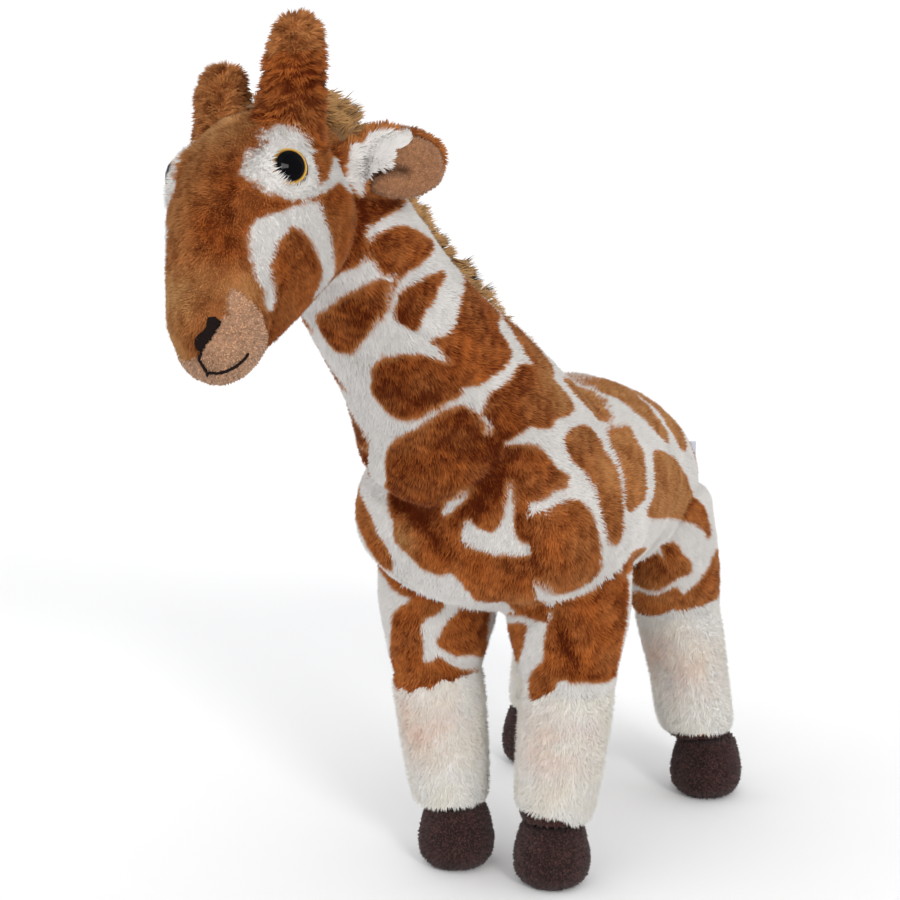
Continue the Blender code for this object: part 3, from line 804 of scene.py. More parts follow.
class Links(NamedTuple):
    """The two ends of each edge of a mesh, and how many edges meet at each vertex."""

    first: np.ndarray
    second: np.ndarray
    count: np.ndarray


def links_of(mesh):
    """The links between a mesh's vertices."""
    ends = np.empty(len(mesh.edges) * 2, np.int64)
    mesh.edges.foreach_get("vertices", ends)
    count = np.bincount(ends, minlength=len(mesh.vertices))
    return Links(ends[0::2], ends[1::2], np.maximum(count, 1))


def evened(values, links, rounds):
    """Values at the vertices, moved again and again half of the way to their neighbours' mean."""
    total = len(values)
    for _ in range(rounds):
        near = np.bincount(links.first, values[links.second], total)
        near += np.bincount(links.second, values[links.first], total)
        values = values + (near / links.count - values) * 0.5
    return values


def relax(mesh, rounds):
    """Evens out the shape of a mesh."""
    places = mesh_arrays(mesh)[0]
    links = links_of(mesh)
    place_vertices(mesh, np.stack([evened(values, links, rounds) for values in places.T], 1))


def nearest_node(points, nodes):
    """Which of the solids each point is nearest to."""
    best = np.full(len(points), np.inf)
    owner = np.zeros(len(points), np.int64)
    for index, node in enumerate(nodes):
        bm = welded(node)
        tree = BVHTree.FromBMesh(bm)
        bm.free()
        low, high = (to_toy(corner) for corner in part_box(node))
        near = ((points > low - OWNER_REACH) & (points < high + OWNER_REACH)).all(1)
        for spot in np.flatnonzero(near):
            found = tree.find_nearest(Vector(to_frame(points[spot])))
            if found[3] is not None and found[3] < best[spot]:
                best[spot] = found[3]
                owner[spot] = index
    return owner


def add_object(name, data):
    """Adds a mesh, a lamp or a camera to the scene."""
    made = bpy.data.objects.new(name, data)
    bpy.context.scene.collection.objects.link(made)
    return made


def set_values(mesh, **layers):
    """Stores a value for each vertex, or one for them all, under each name."""
    for name, values in layers.items():
        layer = mesh.attributes.get(name) or mesh.attributes.new(name, "FLOAT", "POINT")
        full = np.broadcast_to(np.asarray(values, np.float32), len(mesh.vertices))
        layer.data.foreach_set("value", np.ascontiguousarray(full))


class Ground:
    """A skin's surface as arrays, to grow pile on."""

    def __init__(self, places, normals, triangles, owner=None, deep=None):
        self.places = places
        self.normals = normals
        self.triangles = triangles
        self.owner = np.zeros(len(places), np.int64) if owner is None else owner
        self.deep = np.zeros(len(places)) if deep is None else deep

    def part(self, keep):
        """The part of the ground whose triangles are kept."""
        used, triangles = np.unique(self.triangles[keep], return_inverse=True)
        kept = (values[used] for values in (self.owner, self.deep))
        return Ground(self.places[used], self.normals[used], triangles.reshape(-1, 3), *kept)

    def corners(self):
        return self.places[self.triangles]

    def middles(self):
        return self.corners().mean(1)

    def areas(self):
        start, second, third = self.corners().transpose(1, 0, 2)
        return np.linalg.norm(np.cross(second - start, third - start), axis=1) / 2

    def as_mesh(self, name):
        return triangle_mesh(name, to_frame(self.places), self.triangles.ravel())

    def unwrapped(self):
        """A flat place for each corner of each triangle, from an unwrap of this ground."""
        mesh = self.as_mesh("unwrap")
        spare = add_object("unwrap", mesh)
        bpy.context.view_layer.objects.active = spare
        spare.select_set(True)
        bpy.ops.object.mode_set(mode="EDIT")
        bpy.ops.mesh.select_all(action="SELECT")
        bpy.ops.uv.smart_project(angle_limit=math.radians(66), island_margin=0.004)
        bpy.ops.object.mode_set(mode="OBJECT")
        flat = np.empty(len(mesh.loops) * 2)
        mesh.uv_layers.active.uv.foreach_get("vector", flat)
        bpy.data.objects.remove(spare)
        bpy.data.meshes.remove(mesh)
        return flat.reshape(-1, 3, 2)


class Roots(NamedTuple):
    """Where tufts grow: places, normals, owners, the shade painted in folds and at joins, and
    places on the unwrap.
    """

    place: np.ndarray
    normal: np.ndarray
    owner: np.ndarray
    deep: np.ndarray
    flat: np.ndarray

    def kept(self, keep):
        return Roots(*(values[keep] for values in self))


def sow(ground, density, rng):
    """Roots spread over the ground, that many to a square millimetre."""
    wanted = ground.areas() * density * sizes().fullness
    counts = np.floor(wanted + rng.random(len(wanted))).astype(int)
    face = np.repeat(np.arange(len(counts)), counts)
    share = rng.random((len(face), 2))
    over = share.sum(1) > 1
    share[over] = 1 - share[over]
    weights = np.stack([1 - share.sum(1), share[:, 0], share[:, 1]], 1)[:, :, None]
    spots = ground.triangles[face]
    nearest = spots[np.arange(len(face)), weights[:, :, 0].argmax(1)]
    return Roots(
        (ground.places[spots] * weights).sum(1),
        unit((ground.normals[spots] * weights).sum(1)),
        ground.owner[nearest],
        ground.deep[nearest],
        (ground.unwrapped()[face] * weights).sum(1),
    )


class Tufts(NamedTuple):
    """The tufts that grow on some roots: way, length, width, colouring with painted shade and
    painted light, and how far their tips sag.
    """

    way: np.ndarray
    length: np.ndarray
    width: np.ndarray
    low: np.ndarray
    brown: np.ndarray
    tint: np.ndarray
    cast: np.ndarray
    droop: np.ndarray


# The span of a tuft on the unwrap, the angles of its three sides, how far below the skin it starts,
# and how it thins: a smaller power keeps it wide for longer.
PATCH = 0.0015
ROUND = np.radians((0.0, 120.0, 240.0))
ROOT_SINK = 0.6
TAPER = 0.7


def grow(name, roots, tufts, bends=0, facing=0.3):
    """A mesh of three-sided tufts on the roots, straight or with some bends, closed at the tip."""
    count = len(roots.place)
    way = tufts.way
    helper = np.where(np.abs(way[:, 2:3]) < 0.9, (0.0, 0.0, 1.0), (1.0, 0.0, 0.0))
    across = unit(np.cross(helper, way))
    deep = np.cross(way, across)
    circle = np.stack([np.cos(ROUND), np.sin(ROUND)], 1)
    spokes = circle[None, :, :1] * across[:, None] + circle[None, :, 1:] * deep[:, None]
    levels = bends + 1
    rings = []
    normals = []
    flats = []
    rises = []
    for level in range(levels + 1):
        rise = level / levels
        centre = roots.place + way * (tufts.length * rise)[:, None] + tufts.droop * rise**2
        centre = centre - roots.normal * (ROOT_SINK * (level == 0))
        sides = 1 if level == levels else 3
        radius = tufts.width / 2 * (1 - rise) ** TAPER
        if sides == 3:
            ring = centre[:, None] + spokes * radius[:, None, None]
            lit = unit(roots.normal[:, None] * (1 - facing) + spokes * facing)
        else:
            ring = centre[:, None]
            lit = unit(roots.normal + way * 0.3)[:, None]
        spread = circle[None, :sides] * PATCH * (1 - rise)
        rings.append(ring)
        normals.append(lit)
        flats.append(roots.flat[:, None] + spread)
        rises.append(np.full((count, sides), rise))
    places = np.concatenate(rings, 1).reshape(-1, 3)
    normals = np.concatenate(normals, 1).reshape(-1, 3)
    flats = np.concatenate(flats, 1).reshape(-1, 2)
    rises = np.concatenate(rises, 1)
    faces = []
    for level in range(bends):
        for side in range(3):
            after = (side + 1) % 3
            low = level * 3
            faces.append((low + side, low + after, low + 3 + after))
            faces.append((low + side, low + 3 + after, low + 3 + side))
    top = levels * 3
    faces += [(top - 3 + side, top - 3 + (side + 1) % 3, top) for side in range(3)]
    each = top + 1
    corners = (np.arange(count)[:, None, None] * each + np.array(faces)[None]).reshape(-1)
    mesh = triangle_mesh(name, to_frame(places), corners)
    normal_layer = mesh.attributes.new("custom_normal", "FLOAT_VECTOR", "POINT")
    normal_layer.data.foreach_set("vector", normals.astype(np.float32).ravel())
    bake = mesh.uv_layers.new(name="OFBake", do_init=False)
    bake.uv.foreach_set("vector", flats[corners].clip(0, 1).astype(np.float32).ravel())
    brown = tufts.low[:, None] * (1 - rises) + tufts.brown[:, None] * rises
    tint_and_cast = {attr_name: np.repeat(getattr(tufts, attr_name), each) for attr_name in ("tint", "cast")}
    set_values(mesh, tip=rises.ravel(), brown=brown.ravel(), **tint_and_cast)
    return add_object(name, mesh)


def triangle_mesh(name, places, corners):
    """A mesh from places in metres and the place of each corner of its triangles."""
    mesh = bpy.data.meshes.new(name)
    mesh.vertices.add(len(places))
    mesh.vertices.foreach_set("co", places.astype(np.float32).ravel())
    mesh.loops.add(len(corners))
    mesh.loops.foreach_set("vertex_index", corners.astype(np.int32))
    mesh.polygons.add(len(corners) // 3)
    mesh.polygons.foreach_set("loop_start", np.arange(0, len(corners), 3, dtype=np.int32))
    mesh.update(calc_edges=True)
    return mesh


# ---------------------------------------------------------------- materials


class Value:
    """A shader socket that takes part in arithmetic."""

    def __init__(self, paint, socket):
        self.paint = paint
        self.socket = socket

    def math(self, operation, *values):
        """The result of one Math node."""
        return self.paint.node("ShaderNodeMath", {"operation": operation}, dict(enumerate(values)))

    def __add__(self, other):
        return self.math("ADD", self, other)

    def __mul__(self, other):
        return self.math("MULTIPLY", self, other)

    def __sub__(self, other):
        return self.math("SUBTRACT", self, other)

    def __rsub__(self, other):
        return self.math("SUBTRACT", other, self)

    def __pow__(self, other):
        return self.math("POWER", self, other)

    __radd__ = __add__
    __rmul__ = __mul__

    def clamped(self):
        return self.paint.node("ShaderNodeClamp", {}, {"Value": self})


class Paint:
    """A procedural material and short ways to add its nodes."""

    def __init__(self, name, **constants):
        self.material = bpy.data.materials.new(name)
        self.material.use_nodes = True
        self.tree = self.material.node_tree
        self.shader = self.tree.nodes["Principled BSDF"]
        for socket, value in constants.items():
            self.shader.inputs[socket.replace("_", " ")].default_value = value

    def node(self, kind, settings, inputs, output=0):
        """One node: its settings, then the values or links of its sockets; returns one output."""
        made = self.tree.nodes.new(kind)
        for name, value in settings.items():
            if name == "stops":
                ramp = made.color_ramp
                for place, colour in value[1:-1]:
                    ramp.elements.new(place)
                for element, (place, colour) in zip(ramp.elements, value):
                    element.position = place
                    element.color = (*colour, 1)
            else:
                setattr(made, name, value)
        for name, value in inputs.items():
            self.link(made.inputs[name], value)
        return Value(self, made.outputs[output])

    def link(self, socket, value):
        """Links a value to a socket, or sets the socket where the value is plain."""
        if isinstance(value, Value):
            self.tree.links.new(value.socket, socket)
        elif socket.type == "RGBA" and len(value) == 3:
            socket.default_value = (*value, 1)
        else:
            socket.default_value = value

    def attribute(self, name):
        return self.node("ShaderNodeAttribute", {"attribute_name": name}, {}, "Fac")

    def places(self):
        """Each place on the piece, in the frame's metres."""
        return self.node("ShaderNodeTexCoord", {}, {}, "Object")

    def noise(self, size, detail=2.0):
        """A noise whose features are about that many millimetres across, from 0 to 1."""
        inputs = {"Vector": self.places(), "Scale": 1 / MM / size, "Detail": detail}
        return self.node("ShaderNodeTexNoise", {}, inputs)

    def mix(self, share, first, second):
        """A colour that goes from the first to the second as the share rises."""
        inputs = {0: share, 6: first, 7: second}
        return self.node("ShaderNodeMix", {"data_type": "RGBA"}, inputs, 2)

    def finish(self, colour, roughness=None, bump=None, depth=0.0002):
        """The material, with what varies over its surface linked to its shader."""
        self.link(self.shader.inputs["Base Color"], colour)
        if roughness is not None:
            self.link(self.shader.inputs["Roughness"], roughness)
        if bump is not None:
            raised = self.node(
                "ShaderNodeBump", {}, {"Strength": 0.6, "Distance": depth, "Height": bump}
            )
            self.link(self.shader.inputs["Normal"], raised)
        return self.material


def shaded(colour, share):
    """A linear colour made darker to that share of itself."""
    return tuple(float(value) * share for value in colour)


def plush(name, cream, blush):
    """Short pile: cream to brown by its marking, with painted shade at the roots and in folds; the
    cast turns the brown to tan, partly painted light, and brings out a blush where there is one.
    """
    paint = Paint(
        name, Sheen_Weight=0.06, Sheen_Roughness=0.4, Sheen_Tint=WARM_SHEEN, Specular_IOR_Level=0.06
    )
    brown, tip, tint, cast = (paint.attribute(name) for name in ("brown", "tip", "tint", "cast"))
    patchy = paint.noise(20) * 1.1 + paint.noise(6) * 0.9
    # Painted shade: the tuft's lower part and a low tint, from folds, joins and the neck, take the
    # root colour.
    height = (tip * 0.4 + tint * 0.75 + patchy - 1.12).clamped()
    tipped = paint.mix(cast, tuple(colours().brown), tuple(colours().tan))
    rooted = paint.mix(cast, tuple(colours().brown_root), tuple(colours().tan_root))
    dark = paint.mix(height, rooted, tipped)
    # Painted shade: the cream darkens to a shaded copy at the roots and where the tint is low.
    pale = paint.mix((tip * 0.5 + tint * 0.6 + 0.1).clamped(), shaded(cream, 0.74), cream)
    if blush:
        pale = paint.mix((paint.noise(16) * 2 - 0.7).clamped() * 0.5, pale, IVORY)
        spots = (paint.noise(14) * 1.8 - 0.4).clamped() * cast * 0.9
        pale = paint.mix(spots, pale, blush)
    # The fringe is darker at the roots too, as painted shade.
    fringe = paint.mix(tip, FRINGE_ROOT, FRINGE_TIP)
    edge = (brown * 2.2).clamped()
    middle = (brown * 1.8 - 0.8).clamped()
    colour = paint.mix(middle, paint.mix(edge, pale, fringe), dark)
    return paint.finish(colour, 0.8 + tint * 0.15)


def lock_plush(name, colour, dark):
    """Long shaggy pile, from a dark root, which is painted shade deep in the locks, to a light tip.
    """
    paint = Paint(name, Sheen_Weight=0.15, Sheen_Roughness=0.45, Specular_IOR_Level=0.15)
    tip, tint = (paint.attribute(name) for name in ("tip", "tint"))
    patchy = paint.noise(9)
    height = (tip * 0.8 + tint * 0.5 + patchy * 0.6 - 0.55).clamped()
    return paint.finish(paint.mix(height, dark, colour), 0.7 + tint * 0.2)


def terry_cloth(name, colour, dark):
    """Looped cloth: small knots, with painted shade between them."""
    paint = Paint(name, Sheen_Weight=0.12, Sheen_Roughness=0.6, Specular_IOR_Level=0.15)
    tip, tint = (paint.attribute(name) for name in ("tip", "tint"))
    patchy = paint.noise(7) * 0.4 + paint.noise(1.4) * 0.7
    height = (tip * 0.5 + tint * 0.9 + patchy - 0.78).clamped()
    bump = paint.noise(0.8, 3.0)
    return paint.finish(paint.mix(height, dark, colour), 0.85 + tint * 0.1, bump)


def black_thread():
    """Embroidery thread, with the twist of its strands."""
    paint = Paint("black_thread", Specular_IOR_Level=0.08)
    strands = paint.noise(0.5, 3.0)
    colour = paint.mix(strands, THREAD_DARK, THREAD_LIGHT)
    return paint.finish(colour, 0.5 + strands * 0.3, strands)


def dressed(piece, material, slot, *nodes, fill=None):
    """Gives a piece its material, rides it on the toy and hides the solids that it stands for."""
    piece.data.materials.clear()
    piece.data.materials.append(material)
    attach(piece, "root")
    if nodes:
        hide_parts(*nodes)


# ---------------------------------------------------------------- hide and its pile

# The tip and tint values of a skin below its pile, which give it the pile's painted root shade.
SKIN_TIP = 0.1
SKIN_TINT = 0.4


def sizes():
    """The sizes that the user has set."""
    return bpy.context.scene.toy_sizes


def colours():
    """The colours that the user has set."""
    return bpy.context.scene.toy_colours


def groove(distance, depth, width):
    """How far the skin sinks at a distance from a fold's line."""
    return -depth * np.exp(-((distance / width) ** 2))


# How far inside its solid each piece's skin lies, and how fine its mesh is.
HIDE_INSET = {"ear": 1.0, "tail": 1.2}
USUAL_INSET = 1.6
HIDE_VOXEL = 2.1
# How deep the skin dips where a piece is sewn on, how much shade is painted on the pile there, and
# how much slimmer the snout is at its sides.
JOIN_DEPTH = {"ear": 2.4, "horn": 1.0, "leg_hind": 2.0, "leg_front": 0.8, "head": 1.2}
JOIN_PAINTED_SHADE = 0.3
SNOUT_TUCK = 1.2
# Below this height in the head's axes, the snout is tucked in.
SNOUT_TOP = -28


def join_dip(owner, links):
    """How deep the skin dips near the joins of its pieces."""
    dip = np.zeros(len(owner))
    for start, deep in JOIN_DEPTH.items():
        names = (start, "muzzle") if start == "head" else (start,)
        piece = owned_by(owner, *names)
        border = piece[links.first] != piece[links.second]
        mark = np.zeros(len(owner))
        mark[links.first[border]] = 1
        mark[links.second[border]] = 1
        dip = np.maximum(dip, evened(mark, links, rounds=3) * deep)
    return dip


# How full the fluff over each eye is, and the way from the eye to it.
BROW = {"left": 1.45, "right": 2.0}
BROW_WAY = {"left": (0.0, -0.8, 0.5), "right": (0.45, -0.7, 0.55)}
# The radius and the width of the ring of skin that rises round an eye.
EYE_RING = (7.5, 2.6)


def over_eye(local, side):
    """How near each place is to where the fluff hangs over an eye, from 0 to 1 round the eye."""
    centre = np.array(EYE_PLACE) * (SIDES[side], 1, 1)
    return (unit(local - centre) @ BROW_WAY[side]).clip(0, 1)


def eye_lift(places):
    """How far the skin rises round each eye, most at its front and top."""
    lift = np.zeros(len(places))
    local = in_head(places)
    radius, width = EYE_RING
    for side, sign in SIDES.items():
        away, along = eye_distance(places, sign)
        over = over_eye(local, side)
        ring = np.exp(-(((away - radius) / width) ** 2)) * (along > -9)
        lift += ring * (0.3 + 2.2 * over * BROW[side])
    return lift


def swollen(places):
    """How far the skin stands out at each place beyond its even depth in the solids."""
    rise = np.zeros(len(places))
    for swell in SWELLS:
        away = np.linalg.norm(places - swell.place, axis=1) / swell.reach
        rise += swell.rise * np.exp(-(away**2))
    return rise


def make_hide():
    """The stuffed skin of body, neck, head, horns, ears, upper legs and tail, below its pile."""
    mesh = remeshed(OWNERS, HIDE_VOXEL)
    relax(mesh, rounds=4)
    places, normals, triangles = mesh_arrays(mesh)
    owner = nearest_node(places, OWNERS)
    insets = [HIDE_INSET.get(name.split("_")[0], USUAL_INSET) for name in OWNERS]
    shift = -np.array(insets)[owner]
    front = folded_front(places, normals, owner)
    flat = places[front][:, [0, 2]]
    for fold in FOLDS:
        shift[front] += groove(from_line(flat, fold.line), fold.depth, fold.width)
    local = in_head(places)
    sideways = np.abs((normals @ HEAD_TURN)[:, 0])
    low = ((SNOUT_TOP - local[:, 2]) / 12).clip(0, 1) * owned_by(owner, "head", "muzzle")
    shift -= SNOUT_TUCK * sideways * low
    dip = join_dip(owner, links_of(mesh))
    shift -= dip
    shift += eye_lift(places) * owned_by(owner, "head")
    shift += swollen(places)
    for leg, slip in LEG_SLIP.items():
        shift += slip * normals[:, 0] * (owner == OWNER[f"leg_{leg}"])
    shift += ripple(places, 26, 3) * 0.6
    place_vertices(mesh, places + normals * shift[:, None])
    relax(mesh, rounds=2)
    places, normals, triangles = mesh_arrays(mesh)
    mesh.shade_smooth()
    mesh.name = "hide"
    # Painted shade in the front's folds and at the joins, kept out of the ears' white tufts.
    deep = painted_fold_shade(places, normals, owner) + dip * JOIN_PAINTED_SHADE * clear_of_ears(places)
    brown = brown_at(places, normals, owner)
    cast = (tan_and_painted_light_at(places, normals, owner) - deep * 0.5).clip(0, 1)
    set_values(mesh, brown=brown, tip=SKIN_TIP, tint=SKIN_TINT - deep, cast=cast)
    return add_object("hide", mesh), Ground(places, normals, triangles, owner, deep)


class Pile(NamedTuple):
    """One kind of pile: its length, width, lean in degrees, and tufts to a square millimetre."""

    length: float
    width: float
    lean: float
    density: float


def pile_of(owner_name):
    """The pile that grows on one of the hide's pieces."""
    kinds = {
        "head": Pile(sizes().face_pile, 0.6, 38, 4.6),
        "muzzle": Pile(sizes().face_pile * 0.9, 0.6, 40, 4.6),
        "horn": Pile(2.6, 0.75, 34, 3.8),
        "ear": Pile(1.7, 0.6, 45, 3.8),
        "tail": Pile(3.0, 0.7, 50, 3.0),
    }
    return kinds.get(owner_name.split("_")[0], Pile(sizes().body_pile, 0.75, 36, 3.2))


# How much shade is painted on the neck's pile, below the head.
NECK_PAINTED_SHADE = 0.28


def curl(points, size, strength, *seeds):
    """A bend of the pile that changes smoothly over the toy."""
    return np.stack([ripple(points, size, seed) for seed in seeds], 1) * strength


def body_tufts(roots, rng):
    """Tufts of the short pile, that lie along the body."""
    count = len(roots.place)
    kinds = np.array([pile_of(name) for name in OWNERS])[roots.owner]
    length, width, lean = kinds[:, 0], kinds[:, 1], kinds[:, 2]
    along = lie_at(roots.place, roots.normal, roots.owner)
    lean = np.radians(lean + rng.normal(0, 6, count) + ripple(roots.place, 7, 31) * 6)
    stray = rng.normal(0, 0.14, (count, 3)) + curl(roots.place, 3.5, 0.12, 41, 42, 43)
    way = unit(roots.normal * np.cos(lean)[:, None] + along * np.sin(lean)[:, None] + stray)
    length = length * (1 + rng.normal(0, 0.12, count) + ripple(roots.place, 4, 32) * 0.07)
    outer = roots.place + way * length[:, None]
    # Painted shade: the tint is lowered in folds, at joins and on the neck below the head, and the
    # cast in folds.
    fold = roots.deep
    mottle = ripple(roots.place, 2.2, 33) * 0.16
    shade = NECK_PAINTED_SHADE * owned_by(roots.owner, "neck")
    return Tufts(
        way,
        np.maximum(length, 0.5),
        width * rng.uniform(0.75, 1.3, count),
        brown_at(roots.place, roots.normal, roots.owner),
        brown_at(outer, roots.normal, roots.owner),
        (rng.random(count) * 0.7 + mottle + 0.15).clip(0, 1) - fold - shade,
        (tan_and_painted_light_at(roots.place, roots.normal, roots.owner) - fold * 0.5).clip(0, 1),
        along * (length * 0.12)[:, None],
    )


def eye_distance(points, sign):
    """How far points are from an eye's axis, and how far along it they are."""
    local = in_head(points) * (sign, 1, 1) - EYE_PLACE
    way = unit(np.array(EYE_WAY))
    along = local @ way
    return np.linalg.norm(local - along[:, None] * way, axis=1), along


def comb_round_eyes(roots, tufts):
    """Raises a white ring of fluff round each eye, which hangs over the eye's front edge."""
    way = tufts.way
    length = tufts.length
    tint = tufts.tint
    brown = tufts.brown
    local = in_head(roots.place)
    for side, sign in SIDES.items():
        centre = np.array(EYE_PLACE) * (sign, 1, 1)
        away, along = eye_distance(roots.place, sign)
        near = np.where(along > -8, (10.5 - away) / 3, 0).clip(0, 1) * owned_by(roots.owner, "head")
        over = over_eye(local, side)
        lean = unit(roots.place - from_head(centre)) * (0.2 - 0.75 * over * BROW[side])[:, None]
        raised = unit(roots.normal + lean + curl(roots.place, 2.5, 0.12, 81, 82, 83))
        way = way * (1 - near)[:, None] + raised * near[:, None]
        length = length * (1 + 0.4 * near * BROW[side])
        tint = tint + 0.3 * near
        brown = np.where(near > 0.25, tufts.low, brown)
    return tufts._replace(way=unit(way), length=length, tint=tint, brown=brown)


def tier_horns(roots, tufts):
    """Sets a horn's pile in wavy rows and small clumps, with painted shade between the rows."""
    here = owned_by(roots.owner, "horn")
    height = in_head(roots.place)[:, 2]
    rows = np.sin(height * 2 * math.pi / 3.9 + ripple(roots.place, 4.5, 51) * 2.6)
    clumps = curl(roots.place, 2.6, 0.3, 52, 53, 54)
    rise = np.where(here, rows, 0)[:, None]
    way = unit(tufts.way + roots.normal * 0.45 * rise + clumps * here[:, None])
    # Painted shade: the tint follows the rows, darker in the hollows between them where each row's
    # shadow falls.
    tint = np.where(here, (0.42 + 0.42 * rows + 0.5 * (tufts.tint - 0.5)).clip(0, 1), tufts.tint)
    length = tufts.length * (1 + 0.12 * rise[:, 0])
    return tufts._replace(way=way, tint=tint, length=length)


def fluff_ears(roots, tufts):
    """Lengthens the white tuft at the root of each ear."""
    length = tufts.length
    width = tufts.width
    way = tufts.way
    tint = tufts.tint
    for side in SIDES:
        flat, front = ear_place(roots.place, side)
        inside = depth_inside(flat, (EAR_WHITE,))
        fluffy = owned_by(roots.owner, f"ear_{side}") & (inside > -0.5) & (front > 0)
        length = np.where(fluffy, 2.6 + 1.0 * tufts.tint, length)
        width = np.where(fluffy, width * 1.5, width)
        bent = unit(way * 0.6 + roots.normal * 0.8 + curl(roots.place, 3, 0.28, 84, 85, 86))
        way = np.where(fluffy[:, None], bent, way)
        tint = np.where(fluffy, tint + 0.4, tint)
    return tufts._replace(length=length, width=width, way=way, tint=tint)


def below_cuff(leg, points):
    """How far below the line where the stocking's pile starts each point is."""
    angles, heights = np.array(CUFF_LINE[leg], float).T
    line = np.interp(leg_angle(leg, points), angles, heights, period=360)
    return line + ripple(points, 4, 66) * 0.8 - points[:, 2]


def stocking_below_cuffs(roots, tufts):
    """Gives the lowest pile of the upper legs the stockings' colour and length."""
    below = np.zeros(len(roots.place), bool)
    for leg in LEGS:
        below |= owned_by(roots.owner, f"leg_{leg}") & (below_cuff(leg, roots.place) > 0)
    return tufts._replace(
        low=np.where(below, 0, tufts.low),
        brown=np.where(below, 0, tufts.brown),
        length=np.where(below, sizes().sock_pile * 0.85, tufts.length),
    )


def bare_places(places):
    """Where the head has no pile: below its eyes, its muzzle's cloth and its nostrils."""
    local = in_head(places)
    bare = cloth_depth(places) > 0.2
    for side, sign in SIDES.items():
        away, along = eye_distance(places, sign)
        bare |= (away < 5.2 / BROW[side] ** 0.5) & (along > -8)
    nostril = depth_inside(np.stack([near_side(local[:, 0]), local[:, 2]], 1), (NOSTRIL,))
    bare |= (nostril > -0.4) & (local[:, 1] < -40)
    return bare


# The coats of short pile, the solids that each grows on, and the most triangles in one piece.
COATS = {
    "coat_head": ("head", "muzzle"),
    "coat_horns": ("horn",),
    "coat_ears": ("ear",),
    "coat_neck": ("neck",),
    "coat_trunk": ("trunk",),
    "coat_legs_front": ("leg_front",),
    "coat_legs_hind": ("leg_hind",),
    "coat_tail": ("tail",),
}
COAT_LIMIT = 195_000


def grow_hide_coats(ground, material):
    """Grows the short pile of the hide, a coat for each part of the toy."""
    rng = np.random.default_rng(7)
    face_owner = ground.owner[ground.triangles[:, 0]]
    for name, owners in COATS.items():
        whole = ground.part(owned_by(face_owner, *owners))
        density = pile_of(owners[0]).density
        triangles = whole.areas().sum() * density * sizes().fullness * 3
        pieces = max(1, math.ceil(triangles / COAT_LIMIT))
        order = whole.middles()[:, 1]
        bounds = np.quantile(order, np.linspace(0, 1, pieces + 1))
        bounds[-1] += 1
        for index in range(pieces):
            strip = (order >= bounds[index]) & (order < bounds[index + 1])
            roots = sow(whole.part(strip), density, rng)
            if "head" in owners:
                roots = roots.kept(~bare_places(roots.place))
            tufts = body_tufts(roots, rng)
            for change in (comb_round_eyes, tier_horns, fluff_ears, stocking_below_cuffs):
                tufts = change(roots, tufts)
            label = name if pieces == 1 else f"{name}_{index + 1}"
            dressed(grow(label, roots, tufts), material, "patch_plush")


# ---------------------------------------------------------------- skins of the smaller pieces


def no_shift(places, normals):
    """No change of shape."""
    return np.zeros(len(places))


def cut_above(mesh, height):
    """Cuts a closed mesh off at a height and closes it there."""
    bm = bmesh.new()
    bm.from_mesh(mesh)
    place = to_frame((0, 0, height))
    whole = bm.verts[:] + bm.edges[:] + bm.faces[:]
    bmesh.ops.bisect_plane(bm, geom=whole, plane_co=place, plane_no=(0, 0, 1), clear_outer=True)
    bmesh.ops.holes_fill(bm, edges=bm.edges)
    bmesh.ops.triangulate(bm, faces=bm.faces)
    bmesh.ops.recalc_face_normals(bm, faces=bm.faces)
    bm.to_mesh(mesh)
    bm.free()


def soft_skin(name, nodes, voxel, inset, rounds=3, shaping=no_shift, top=None):
    """A stuffed skin round some solids, lying inside them by the depth of its pile."""
    mesh = remeshed(nodes, voxel)
    relax(mesh, rounds)
    places, normals, triangles = mesh_arrays(mesh)
    place_vertices(mesh, places + normals * (shaping(places, normals) - inset)[:, None])
    if top:
        cut_above(mesh, top)
    mesh.shade_smooth()
    mesh.name = name
    set_values(mesh, brown=0, tip=SKIN_TIP, tint=SKIN_TINT, cast=0)
    places, normals, triangles = mesh_arrays(mesh)
    return add_object(name, mesh), Ground(places, normals, triangles)


def knots(name, roots, size, rng):
    """Small stubby loops of terry cloth."""
    count = len(roots.place)
    way = unit(roots.normal + rng.normal(0, 0.5, (count, 3)))
    plain = np.zeros(count)
    tufts = Tufts(
        way,
        size * rng.uniform(0.6, 1.3, count),
        size * rng.uniform(0.9, 1.6, count),
        plain,
        plain,
        # Painted shade: the tint is lowered where the ground has folds.
        rng.random(count) - roots.deep,
        plain,
        np.zeros((count, 3)),
    )
    return grow(name, roots, tufts, facing=0.5)


# How many locks lean together in the mane, the way that they are swept there and in the tail's
# tuft, and the way out of the neck, where the mane stands.
CLUMP_SHARE = 48
MANE_SWEEP = (0.08, 0.5, -0.12)
TAIL_SWEEP = (0.0, 0.0, -0.9)
MANE_RISE = (0.0, 0.75, 0.65)
# The heights where a stocking's skin is cut off, where its pile ends and where a sole is left bare,
# and the tint of the stocking's skin below its pile's lower edge.
STOCKING_CUT = 98
STOCKING_TOP = 91
SOLE_TOP = 0.9
HEM_TINT = -1.5


def hem_height(leg, points):
    """The height at each point where a stocking's pile ends and its hoof's cloth starts."""
    angles, heights = np.array(HEM_LINE[leg], float).T
    return np.interp(leg_angle(leg, points), angles, heights, period=360)


